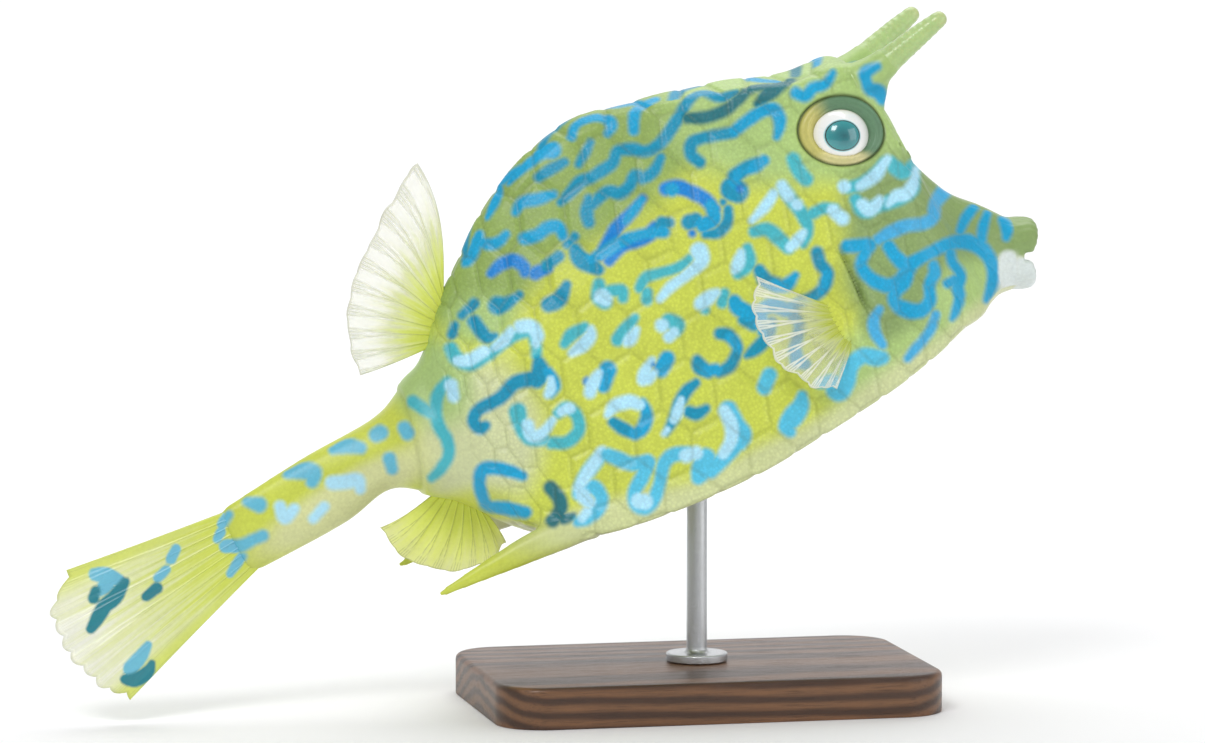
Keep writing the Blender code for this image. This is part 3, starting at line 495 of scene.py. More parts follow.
BACK_STROKES = scrawls(
    (T, [(151, -3, 1.3), (156, 1, 1.7), (161, 4, 1.3)]),
    (M, [(167, 4, 1.3), (171, 0, 1.7), (177, -3, 1.4)]),
    (T, [(184, -4, 1.3), (189, 0, 1.8), (195, 1, 1.7), (200, 4, 1.3)]),
    (M, [(206, 4, 1.3), (210, 0, 1.7), (215, -1, 1.6), (219, -5, 1.3)]),
    (T, [(225, -5, 1.3), (229, -1, 1.8), (235, 1, 1.7), (239, 5, 1.4)]),
    (M, [(245, 6, 1.4), (249, 2, 1.8), (250, -3, 1.7), (255, -7, 1.4)]),
    (E, [(259, 6, 1.7), (263, 1, 2.0), (261, -5, 1.7)]),
    (M, [(268, 7, 1.3), (270, 1, 1.7), (268, -5, 1.3)]),
)
BELLY_STROKES = scrawls(
    (S, [(150, 16, 1.6), (160, 20, 2), (168, 16, 1.6)]),
    (P, [(178, 8, 1.4), (186, 3, 1.8), (196, 6, 1.4)]),
    (S, [(182, 25, 1.6), (194, 22, 2), (203, 26, 1.5)]),
    (S, [(206, 12, 1.4), (214, 17, 1.9), (224, 13, 1.5)]),
    (P, [(231, 22, 1.4), (239, 19, 1.7)]),
    (S, [(236, 6, 1.4), (246, 9, 1.7), (254, 5, 1.3)]),
    (S, [(142, 2, 1.3), (152, 5, 1.6)]),
    (P, [(262, 12, 1.2), (270, 9, 1.4)]),
    (S, [(212, 0, 1.4), (222, 2, 1.6)]),
)


@dataclass(frozen=True)
class Wash:
    """A soft-edged patch of the ground colour, in the side view."""

    ground: Ground
    centre: tuple[float, float]
    reach: tuple[float, float]
    turn: float = 0.0
    soft: float = 0.35
    strength: float = 1.0

    def cover(self, spots: Rows) -> Rows:
        """Gives how much of the wash lies on each spot.

        Args:
            spots: Rows of across and down.

        Returns:
            Numbers from 0 to 1.
        """
        c, s = math.cos(math.radians(self.turn)), math.sin(math.radians(self.turn))
        away = spots - np.array(self.centre)
        across = (away[:, 0] * c - away[:, 1] * s) / self.reach[0]
        down = (away[:, 0] * s + away[:, 1] * c) / self.reach[1]
        return self.strength * ease(np.hypot(across, down), 1 + self.soft, 1 - self.soft)


@dataclass(frozen=True)
class Markings:
    """The fish's ground colours and its scrawls, placed in the side view and on the belly."""

    base: Ground = Ground.LIME
    belly: Ground = Ground.BELLY
    snout: Ground = Ground.MOSS
    washes: tuple[Wash, ...] = (
        # olive back, pale nape and brow
        Wash(Ground.OLIVE, (560, 170), (150, 78), 26, 0.25),
        Wash(Ground.OLIVE, (470, 270), (75, 52), 20, 0.3),
        Wash(Ground.OLIVE, (640, 125), (90, 52), 20, 0.25),
        Wash(Ground.LEAF, (790, 108), (125, 76), 4, 0.25),
        Wash(Ground.LEAF, (872, 138), (62, 52), 0, 0.3),
        Wash(Ground.LEAF, (880, 60), (110, 60), 30, 0.3),
        # pale rear and low edge
        Wash(Ground.REAR, (478, 437), (62, 76), 0, 0.3),
        Wash(Ground.COLLAR, (428, 378), (38, 50), 35, 0.4),
        Wash(Ground.ROOT, (480, 318), (34, 24), 10, 0.5),
        Wash(Ground.STALK, (345, 500), (100, 24), 31, 0.35),
        Wash(Ground.LIME, (470, 510), (45, 22), 10, 0.5),
        Wash(Ground.CREAM, (620, 516), (100, 20), 15, 0.5, 0.9),
        Wash(Ground.CREAM, (760, 466), (110, 20), 27, 0.5, 0.9),
        # snout and chin
        Wash(Ground.LEAF, (905, 340), (95, 42), 36, 0.35),
        Wash(Ground.MOSS, (925, 225), (88, 70), -22, 0.25),
        Wash(Ground.MOSS, (900, 270), (60, 55), 20, 0.3),
        # a darker moss patch low on the cheek, below the gill opening, is painted shade
        Wash(Ground.MOSS, (880, 318), (22, 22), 0, 0.5),
        Wash(Ground.MOSS, (1005, 232), (45, 26), 0, 0.35),
        Wash(Ground.LEAF, (968, 292), (40, 32), 30, 0.4),
        Wash(Ground.CREAM, (880, 400), (140, 24), 36, 0.45, 0.95),
        Wash(Ground.CREAM, (985, 320), (48, 20), 38, 0.5, 0.95),
        Wash(Ground.LIP, (1010, 274), (20, 20), 0, 0.4),
    )
    strokes: tuple[Stroke, ...] = FLANK_STROKES + TAIL_STROKES
    above: tuple[Stroke, ...] = BACK_STROKES
    below: tuple[Stroke, ...] = BELLY_STROKES

    def ground(self, spots: Rows) -> Rows:
        """Mixes the ground colour.

        Args:
            spots: Rows of across and down in the side view.

        Returns:
            Rows of linear red, green and blue.
        """
        found = laid(np.zeros((len(spots), 3)), self.base.value, np.ones(len(spots)))
        for wash in self.washes:
            found = laid(found, wash.ground.value, wash.cover(spots))
        return found

    def ink(self, spots: Rows, strokes: Sequence[Stroke], soft: float) -> tuple[Rows, Rows]:
        """Lays strokes over each other in their order.

        Args:
            spots: Rows of across and down.
            strokes: The strokes, lowest first.
            soft: How wide the blend is where one stroke lies over another.

        Returns:
            How far each spot is outside the ink, and the ink's linear colour there.
        """
        edge = np.full(len(spots), 12.0 * soft)
        colour = laid(np.zeros((len(spots), 3)), Tone.TEAL.value, np.ones(len(spots)))
        for stroke in strokes:
            rows = np.array(stroke.points)
            reach = rows[:, 2].max() + 8 * soft
            low, high = rows[:, :2].min(axis=0) - reach, rows[:, :2].max(axis=0) + reach
            near = np.flatnonzero(((spots > low) & (spots < high)).all(axis=1))
            if not near.size:
                continue
            away = stroke.edge(spots[near])
            first = (edge[near] > 0) & (away < edge[near])
            cover = np.where(first, 1.0, ease(away, soft, -soft))
            colour[near] = laid(colour[near], stroke.tone.value, cover)
            edge[near] = np.minimum(edge[near], away)
        return edge, colour


# Cross-sections of the body: top, low, then the half widths of crown, upper, lower and keel, the keel's
# share of the height, and how softly the corners are rounded
STATIONS = (
    ("tail_base", 60, 43.8, 60, 23, 1.8, 3.6, 3.6, 1.8, 0.97, 0.07),
    ("stalk", 84, 45.7, 86, 23.3, 3.0, 6.2, 6.0, 2.8, 0.97, 0.07),
    ("stalk_root", 107, 46.3, 101, 26, 4.4, 9.0, 9.0, 5.0, 0.97, 0.06),
    ("rim", 118, 50.5, 110, 21, 5.0, 12.5, 13.5, 8.0, 0.96, 0.05),
    ("vent", 128, 56, 119.5, 11.5, 5.0, 16.0, 20.0, 15.0, 0.95, 0.035),
    ("haunch", 137, 65, 130, -1, 5.0, 18.5, 26.0, 27.0, 0.945, 0.016),
    ("rump", 149.3, 75.2, 143, -10.2, 5.0, 19.5, 28.5, 33.5, 0.955, 0.009),
    ("loin", 167.6, 88.0, 165, -14.7, 5.0, 20.0, 29.5, 36.5, 0.962, 0.008),
    ("crest", 193, 96.2, 194, -16.9, 5.0, 20.0, 30.0, 37.5, 0.965, 0.008),
    ("shoulder", 219, 91.8, 219, -15.7, 6.0, 20.0, 29.5, 36.5, 0.965, 0.008),
    ("gill", 241, 85.9, 241, -14.0, 8.0, 19.5, 28.5, 34.5, 0.965, 0.009),
    ("nape", 259, 79.4, 257.6, -11.8, 11.0, 19.0, 26.0, 31.0, 0.962, 0.011),
    ("brow", 274.8, 76.8, 268.4, -9.8, 11.5, 17.5, 24.0, 27.0, 0.96, 0.015),
    ("forehead", 279.8, 60, 276.3, -9.7, 8.0, 14.5, 20.0, 22.5, 0.955, 0.020),
    ("face", 280.5, 43.5, 282.2, -8.3, 5.6, 11.3, 15.5, 16.5, 0.945, 0.03),
    ("bridge", 286.8, 27.2, 287.4, -7.6, 4.8, 8.8, 12.0, 11.0, 0.93, 0.045),
    ("snout", 294.4, 18.3, 291.0, -8.2, 4.9, 8.8, 9.8, 7.6, 0.93, 0.06),
    ("mouth", 300, 11, 295, -9, 5.0, 9.2, 9.0, 6.0, 0.93, 0.065),
)


@dataclass
class BodyForm:
    """The loft of the body through its stations, and the way back from a point to its place on it.

    A place counts the stations from the tail. A turn runs from 0 on the back by 1 on the belly to 2.
    """

    rows: Rows = field(default_factory=lambda: np.array([row[1:] for row in STATIONS], float))
    names: tuple[str, ...] = tuple(row[0] for row in STATIONS)
    samples: int = 512
    shares: tuple[float, float, float] = (0.03, 0.35, 0.72)
    belly: tuple[float, float] = (0.55, 0.72)
    keel_turn: float = 2 / 3
    map_places: int = 409
    map_turns: int = 480
    halvings: int = 32

    def __post_init__(self) -> None:
        """Fills the map from which locate reads."""
        places = np.linspace(0, self.end(), self.map_places)
        turns = np.arange(self.map_turns) * 2 / self.map_turns
        self.grid = np.array([self.ring(place, turns) for place in places])
        self.tree = KDTree(self.map_places * self.map_turns)
        for index, point in enumerate(self.grid.reshape(-1, 3)):
            self.tree.insert(point, index)
        self.tree.balance()

    def place(self, name: str) -> float:
        """Gives a station's place in their order."""
        return float(self.names.index(name))

    def end(self) -> float:
        """Gives the last station's place."""
        return len(self.rows) - 1.0

    def outline(self, row: Rows) -> tuple[Rows, float]:
        """Rounds one cross-section.

        Args:
            row: A station's sizes.

        Returns:
            The outline as side plus i times down, and the keel's share of half its length.
        """
        crown, upper, lower, keel, keel_at, soft = row[4:]
        height = np.linalg.norm(row[2:4] - row[0:2])
        shares = [0, *self.shares, keel_at, keel_at + (1 - keel_at) * self.belly[1], 1]
        widths = [0, crown, upper, lower, keel, keel * self.belly[0], 0]
        half = np.array(widths) + 1j * np.array(shares) * height
        ring = np.concatenate([half, -np.conj(half[-2:0:-1]), half[:1]])
        run = np.concatenate([[0], np.cumsum(np.abs(np.diff(ring)))])
        even = np.linspace(0, run[-1], self.samples, endpoint=False)
        dense = np.interp(even, run, ring.real) + 1j * np.interp(even, run, ring.imag)
        wave = np.fft.fftfreq(self.samples) * self.samples
        smooth = np.fft.ifft(np.fft.fft(dense) * np.exp(-0.5 * (math.pi * wave * soft) ** 2))
        side, down = smooth.real, smooth.imag
        side = side * (max(widths) / side.max())
        down = (down - down.min()) * height / np.ptp(down)
        return side + 1j * down, run[len(self.shares) + 1] / run[len(half) - 1]

    def ring(self, place: float, turns: Rows) -> Rows:
        """Gives points round the body.

        Args:
            place: The place along the stations.
            turns: The turns round it.

        Returns:
            One row of along, side and up for each turn.
        """
        row = catmull(self.rows, np.array([min(max(place, 0.0), self.end())]))[0]
        shape, keel = self.outline(row)
        folded = self.folded(turns)
        share = np.where(
            folded <= self.keel_turn, keel * folded / self.keel_turn,
            keel + (1 - keel) * (folded - self.keel_turn) / (1 - self.keel_turn),
        )
        at = share * self.samples / 2
        first = np.floor(at).astype(int)
        a, b = shape[first % self.samples], shape[(first + 1) % self.samples]
        found = a + (b - a) * (at - first)
        middle = row[0:2] + found.imag[:, None] * unit(row[2:4] - row[0:2])
        return np.stack([middle[:, 0], np.where(turns <= 1, found.real, -found.real), middle[:, 1]], -1)

    @staticmethod
    def folded(turns: Rows) -> Rows:
        """Gives turns that are the same on both sides, from 0 on the back to 1 on the belly."""
        return np.where(turns <= 1, turns, 2 - turns)

    def point(self, place: float, turn: float) -> Rows:
        """Gives one point of the body's surface."""
        return self.ring(place, np.array([turn % 2]))[0]

    def normal(self, place: float, turn: float, step: float = 0.02) -> Rows:
        """Gives the outward direction at one point of the body's surface.

        Args:
            place: The point's place.
            turn: The point's turn.
            step: How far to each side the surface is read.

        Returns:
            The direction, with a length of one.
        """
        along = self.point(place + step, turn) - self.point(place - step, turn)
        around = self.point(place, turn + step) - self.point(place, turn - step)
        return unit(np.cross(along, around))

    def run(self, start: float, end: float, count: int) -> Rows:
        """Gives places that are evenly far apart along the middle of the flank.

        Args:
            start: The first place.
            end: The last place.
            count: How many to give.

        Returns:
            The places.
        """
        fine = np.linspace(start, end, 200)
        rows = catmull(self.rows, fine)
        middles = (rows[:, 0:2] + rows[:, 2:4]) / 2
        length = np.concatenate([[0], np.cumsum(np.linalg.norm(np.diff(middles, axis=0), axis=1))])
        return np.interp(np.linspace(0, length[-1], count), length, fine)

    def flank(self, along: float, up: float, side: int) -> tuple[Rows, Rows]:
        """Finds a point of the flank from its place in the fish's side view.

        Args:
            along: Distance along the fish.
            up: Height in the fish's frame.
            side: 1 for the left flank, -1 for the right.

        Returns:
            The point and its outward direction.
        """
        low, high = 0.0, self.end()
        for _ in range(self.halvings):
            place = (low + high) / 2
            row = catmull(self.rows, np.array([place]))[0]
            line = row[2:4] - row[0:2]
            ahead = line[0] * (up - row[1]) - line[1] * (along - row[0])
            low, high = (place, high) if ahead > 0 else (low, place)
        place = low
        low, high = 0.0, self.keel_turn
        for _ in range(self.halvings):
            turn = (low + high) / 2
            low, high = (turn, high) if self.point(place, turn)[2] > up else (low, turn)
        flip = np.array([1, side, 1])
        return self.point(place, low) * flip, self.normal(place, low) * flip

    def locate(self, points: Rows) -> tuple[Rows, Rows, Rows]:
        """Finds where points lie on the body.

        Args:
            points: Rows of along, side and up.

        Returns:
            The place, the turn and the distance from the loft's surface of each point.
        """
        nearest = np.array([self.tree.find(point)[1] for point in points])
        i, j = nearest // self.map_turns, nearest % self.map_turns
        ahead, behind = np.minimum(i + 1, self.map_places - 1), np.maximum(i - 1, 0)
        along = (self.grid[ahead, j] - self.grid[behind, j]) / (ahead - behind)[:, None]
        around = (self.grid[i, (j + 1) % self.map_turns] - self.grid[i, j - 1]) / 2
        gap = points - self.grid[i, j]
        a, b, c = (along * along).sum(1), (along * around).sum(1), (around * around).sum(1)
        u, v = (along * gap).sum(1), (around * gap).sum(1)
        det = np.maximum(a * c - b * b, 1e-9)
        step_i = np.clip((c * u - b * v) / det, -1, 1)
        step_j = np.clip((a * v - b * u) / det, -1, 1)
        rest = gap - along * step_i[:, None] - around * step_j[:, None]
        place = np.clip((i + step_i) * self.end() / (self.map_places - 1), 0, self.end())
        return place, ((j + step_j) * 2 / self.map_turns) % 2, np.linalg.norm(rest, axis=1)


class Note(Enum):
    """What a mesh can hold for each of its points, which a finish reads."""

    NUMBER = ("FLOAT", "value")
    COLOUR = ("FLOAT_COLOR", "color")
    VECTOR = ("FLOAT_VECTOR", "vector")

    def write(self, mesh: Mesh, name: str, values: Rows) -> None:
        """Writes one number, colour or vector for each point.

        Args:
            mesh: The mesh.
            name: The attribute's name.
            values: The numbers, or rows of three.
        """
        kind, slot = self.value
        if self is Note.COLOUR:
            values = np.column_stack([values, np.ones(len(values))])
        made = mesh.attributes.new(name, kind, "POINT")
        made.data.foreach_set(slot, np.ascontiguousarray(values, np.float32).ravel())


class Mesher:
    """Makes meshes and objects from arrays."""

    @staticmethod
    def grid_faces(rows: int, columns: int, closed: bool, start: int = 0) -> Faces:
        """Lists the quads between rows of points.

        Args:
            rows: How many rows of points there are.
            columns: How many points a row has.
            closed: Whether each row is a ring.
            start: The index of the first point.

        Returns:
            The quads as point indices.
        """
        found = []
        for first in range(start, start + (rows - 1) * columns, columns):
            for a in range(columns if closed else columns - 1):
                b = (a + 1) % columns
                found.append((first + a, first + b, first + columns + b, first + columns + a))
        return found

    @classmethod
    def tube(cls, rings: Sequence[Rows], start: int = 0) -> tuple[Rows, Faces]:
        """Closes rings of points into one shell with flat ends.

        Args:
            rings: The rings, in order.
            start: The index of the first point.

        Returns:
            The points and the faces.
        """
        count = len(rings[0])
        faces = cls.grid_faces(len(rings), count, True, start)
        last = start + (len(rings) - 1) * count
        faces += [tuple(range(start, start + count))[::-1], tuple(range(last, last + count))]
        return np.concatenate(rings), faces

    @staticmethod
    def mesh(name: str, points: Rows, faces: Faces) -> Mesh:
        """Makes a mesh whose faces look outwards.

        Args:
            name: The mesh's name.
            points: Rows of coordinates.
            faces: Point indices of each face.

        Returns:
            The mesh.
        """
        made = bpy.data.meshes.new(name)
        made.from_pydata(points.tolist(), [], faces)
        shape = bmesh.new()
        shape.from_mesh(made)
        bmesh.ops.recalc_face_normals(shape, faces=shape.faces)
        shape.to_mesh(made)
        shape.free()
        made.shade_smooth()
        return made

    @staticmethod
    def piece(name: str, mesh: Mesh, material: bpy.types.Material, slot: str, *nodes: str) -> None:
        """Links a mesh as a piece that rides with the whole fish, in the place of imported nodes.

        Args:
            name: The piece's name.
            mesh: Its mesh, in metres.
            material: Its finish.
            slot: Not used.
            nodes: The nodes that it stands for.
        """
        made = bpy.data.objects.new(name, mesh)
        bpy.context.scene.collection.objects.link(made)
        mesh.materials.clear()
        mesh.materials.append(material)
        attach(made, "root")
        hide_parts(*nodes)
        LOG.info("%s: %d points", name, len(mesh.vertices))

    @staticmethod
    def modified(mesh: Mesh, kind: str, **settings: Any) -> Mesh:
        """Runs one modifier on a mesh.

        Args:
            mesh: The mesh, which stays as it is.
            kind: The modifier's type.
            settings: Its settings.

        Returns:
            The result as a new mesh.
        """
        holder = bpy.data.objects.new("holder", mesh)
        bpy.context.scene.collection.objects.link(holder)
        modifier = holder.modifiers.new(kind.lower(), kind)
        for key, value in settings.items():
            setattr(modifier, key, value)
        bpy.context.view_layer.update()
        graph = bpy.context.evaluated_depsgraph_get()
        made = bpy.data.meshes.new_from_object(holder.evaluated_get(graph))
        bpy.data.objects.remove(holder)
        return made

    @staticmethod
    def read(source: Any, slot: str, width: int, kind: type = float) -> Rows:
        """Reads numbers of a mesh's points or edges.

        Args:
            source: The mesh's vertices, edges or normals.
            slot: What to read of each.
            width: How many numbers each has.
            kind: The numbers' type.

        Returns:
            One row for each.
        """
        found = np.empty(len(source) * width, kind)
        source.foreach_get(slot, found)
        return found.reshape(-1, width)

    @staticmethod
    def move(mesh: Mesh, points: Rows) -> None:
        """Writes a mesh's points."""
        mesh.vertices.foreach_set("co", np.ascontiguousarray(points, np.float32).ravel())
        mesh.update()

    @staticmethod
    def smooth(points: Rows, edges: Rows, weight: Rows, rounds: int, pull: float = 0.7) -> Rows:
        """Relaxes points towards the middle of their neighbours.

        Args:
            points: Rows of coordinates.
            edges: Pairs of neighbouring points.
            weight: How far each point may move, from 0 to 1.
            rounds: How often to repeat.
            pull: The share of the way that a full weight moves a point.

        Returns:
            The relaxed points.
        """
        count = len(points)
        first, second = edges.T
        degree = np.maximum(np.bincount(edges.ravel(), minlength=count), 1)
        for _ in range(rounds):
            total = np.stack([
                np.bincount(first, points[second, k], count) + np.bincount(second, points[first, k], count)
                for k in range(3)
            ], -1)
            points = points + (total / degree[:, None] - points) * weight[:, None] * pull
        return points


def taper_rings(path: Rows, radii: Rows, sides: int) -> list[Rows]:
    """Gives the rings of a tapering rod with a round tip.

    Args:
        path: Rows of along, side and up, from root to tip.
        radii: A wide and a tall radius for each row.
        sides: How many points a ring has.

    Returns:
        The rings, with those of the tip.
    """
    rings = []
    angles = np.arange(sides) * math.tau / sides
    for i, centre in enumerate(path):
        tangent = unit(path[min(i + 1, len(path) - 1)] - path[max(i - 1, 0)])
        across = unit(np.cross(tangent, (0, 0, 1)))
        over = np.cross(across, tangent)
        wide, tall = radii[i]
        rings.append(centre + np.outer(np.cos(angles) * wide, across) + np.outer(np.sin(angles) * tall, over))
    reach = tangent * float(np.min(radii[-1])) * 0.9
    last = rings[-1] - path[-1]
    for turn in np.linspace(0.25, 1, 6)[:-1] * math.pi / 2:
        rings.append(path[-1] + reach * math.sin(turn) + last * math.cos(turn))
    rings.append(path[-1] + reach + last * 0.05)
    return rings


def through(path: Sequence[Any], radii: Sequence[Any], count: int, side: int) -> tuple[Rows, Rows]:
    """Gives more points on the smooth curve through a path.

    Args:
        path: Points of the fish's left side.
        radii: A radius, or a wide and a tall one, for each point.
        count: How many points to give.
        side: 1 for the left, -1 for the right.

    Returns:
        The points, and their wide and tall radii.
    """
    pairs = [r if isinstance(r, tuple) else (r, r) for r in radii]
    rows = np.array([[*p, *r] for p, r in zip(path, pairs)], float)
    found = catmull(rows, np.linspace(0, len(rows) - 1, count))
    found[:, 1] *= side
    return found[:, :3], found[:, 3:]


@dataclass
class EyeForm:
    """Where an eye sits, and the sizes of its ball and of the fold of skin round it."""

    form: BodyForm
    frame: BodyFrame
    side: int
    along: float = 263.5
    up: float = 58.8
    radius: float = 9.6
    bulge: float = 3.9
    tilt: float = math.radians(14)
    squash: tuple[float, float] = (0.86, 0.8)
    opening: float = 8.3
    rim: float = 12.8
    ring_shift: tuple[float, float] = (0.3, 1.1)
    gaze: tuple[float, float] = (-0.06, -0.12)
    # each fold: its radius, width and height, and the crease's width and depth
    fold: tuple[float, float, float] = (10.1, 1.15, 1.25)
    outer_fold: tuple[float, float, float] = (11.9, 0.5, 0.28)
    crease: tuple[float, float] = (0.55, 0.75)
    lid: float = 0.35
    sunk: float = 1.3
    depth: float = 8.0
    tan: Screen = (207, 200, 122)
    # green: painted shade on the upper front side of the fold
    green: Screen = (112, 146, 116)
    cream: Screen = (238, 228, 176)
    # dark: painted shade in the creases round the fold
    dark: Screen = (38, 48, 30)

    def __post_init__(self) -> None:
        """Finds the eye's centre and its own axes."""
        self.rim_centre, _ = self.form.flank(self.along, self.up, self.side)
        self.look = unit(np.array([0.12, self.side * math.cos(self.tilt), math.sin(self.tilt)]))
        self.centre = self.rim_centre + self.look * (self.bulge - self.radius)
        ahead = self.frame.direction((1, 0, 0))
        self.ahead = unit(ahead - self.look * (ahead @ self.look))
        over = np.cross(self.look, self.ahead)
        self.over = over * (1 if over[2] > 0 else -1)

    def gaze_axes(self) -> tuple[Rows, Rows, Rows]:
        """Gives the way the pupil looks.

        Returns:
            Its direction, and those ahead of it and over it.
        """
        gaze = unit(self.look + self.ahead * self.gaze[0] + self.over * self.gaze[1])
        ahead = unit(self.ahead - gaze * (self.ahead @ gaze))
        return gaze, ahead, unit(self.over - gaze * (self.over @ gaze) - ahead * (self.over @ ahead))

    def polar(self, points: Rows) -> tuple[Rows, Rows, Rows, Rows]:
        """Measures points round the eye.

        Args:
            points: Rows of along, side and up.

        Returns:
            The oval radius, the true radius, the height over the flank and the angle from ahead.
        """
        away = points - self.rim_centre
        a, b, height = away @ self.ahead, away @ self.over, away @ self.look
        true = np.hypot(a, b)
        outer = np.hypot(a - self.ring_shift[0], (b - self.ring_shift[1]) / self.squash[1])
        hold = ease(outer, self.opening, self.rim)
        a, b = a - self.ring_shift[0] * hold, b - self.ring_shift[1] * hold
        flat = self.squash[0] + (self.squash[1] - self.squash[0]) * hold
        return np.hypot(a, b / flat), true, height, np.arctan2(b, a)

    def near(self, points: Rows, reach: float) -> Rows:
        """Tells which points lie round the eye.

        Args:
            points: Rows of along, side and up.
            reach: How far past the rim to go.

        Returns:
            One yes or no for each point.
        """
        oval, _, height, _ = self.polar(points)
        return (oval < self.rim + reach) & (points[:, 1] * self.side > 0) & (height > -self.depth)

    def ball_height(self, true_radius: Rows) -> Rows:
        """Gives the ball's height over the flank at a radius."""
        inside = np.minimum(true_radius, self.radius * 0.93)
        return np.sqrt(self.radius**2 - inside**2) + self.bulge - self.radius

    def settle(self, points: Rows) -> Rows:
        """Moves skin points into the socket and the fold round the eye.

        Args:
            points: Rows of along, side and up.

        Returns:
            The moved points.
        """
        oval, true, height, _ = self.polar(points)
        lid = self.ball_height(np.minimum(true, self.opening)) + self.lid
        folds = sum(hump(oval, at, wide) * tall for at, wide, tall in (self.fold, self.outer_fold))
        folds = folds - hump(oval, self.rim, self.crease[0]) * self.crease[1]
        hold = ease(oval, self.rim + 0.4, self.opening + 0.6)
        wanted = height + (lid - height) * hold + folds
        drop = ease(oval, self.opening + 0.1, self.opening - 0.55)
        wanted += (self.ball_height(true) - self.sunk - wanted) * drop
        return points + self.look * np.where(self.near(points, 4), wanted - height, 0)[:, None]

    def tint(self, points: Rows, ground: Rows) -> Rows:
        """Colours the fold of skin round the eye: tan, with painted shade in green on its upper front side,
        paler cream along its bottom, and dark lines of painted shade in the creases at the rim and at the edge
        of the opening.

        Args:
            points: Rows of along, side and up.
            ground: Their linear colours so far.

        Returns:
            The new linear colours.
        """
        oval, _, _, angle = self.polar(points)
        near = self.near(points, 3)
        ring = laid(np.zeros_like(ground), self.tan, np.ones(len(points)))
        # painted shade: the upper front side of the fold turns green
        ring = laid(ring, self.green, ease(np.cos(angle - math.radians(38)), -0.45, 0.35))
        ring = laid(ring, self.cream, ease(np.sin(angle), -0.55, -0.95) * 0.8)
        cover = ease(oval, self.rim + 0.1, self.rim - 0.5) * near
        found = ground + (ring - ground) * cover[:, None]
        # painted shade: dark lines in the crease at the rim and at the edge of the opening
        crease = hump(oval, self.rim, 0.42) * 0.85 + hump(oval, self.opening + 0.2, 0.25) * 0.3
        return laid(found, self.dark, np.clip(crease * near, 0, 1))


class Wire:
    """A value that changes over a surface. It can be added to, taken from, multiplied and divided."""

    def __init__(self, graph: "Graph", socket: bpy.types.NodeSocket) -> None:
        """Keeps the socket that gives the value, and the graph that it is in."""
        self.graph, self.socket = graph, socket

    def __add__(self, other: Plug) -> "Wire":
        """Adds a value."""
        return self.graph.math("ADD", self, other)

    def __sub__(self, other: Plug) -> "Wire":
        """Takes a value away."""
        return self.graph.math("SUBTRACT", self, other)

    def __mul__(self, other: Plug) -> "Wire":
        """Multiplies by a value."""
        return self.graph.math("MULTIPLY", self, other)

    def __truediv__(self, other: Plug) -> "Wire":
        """Divides by a value."""
        return self.graph.math("DIVIDE", self, other)


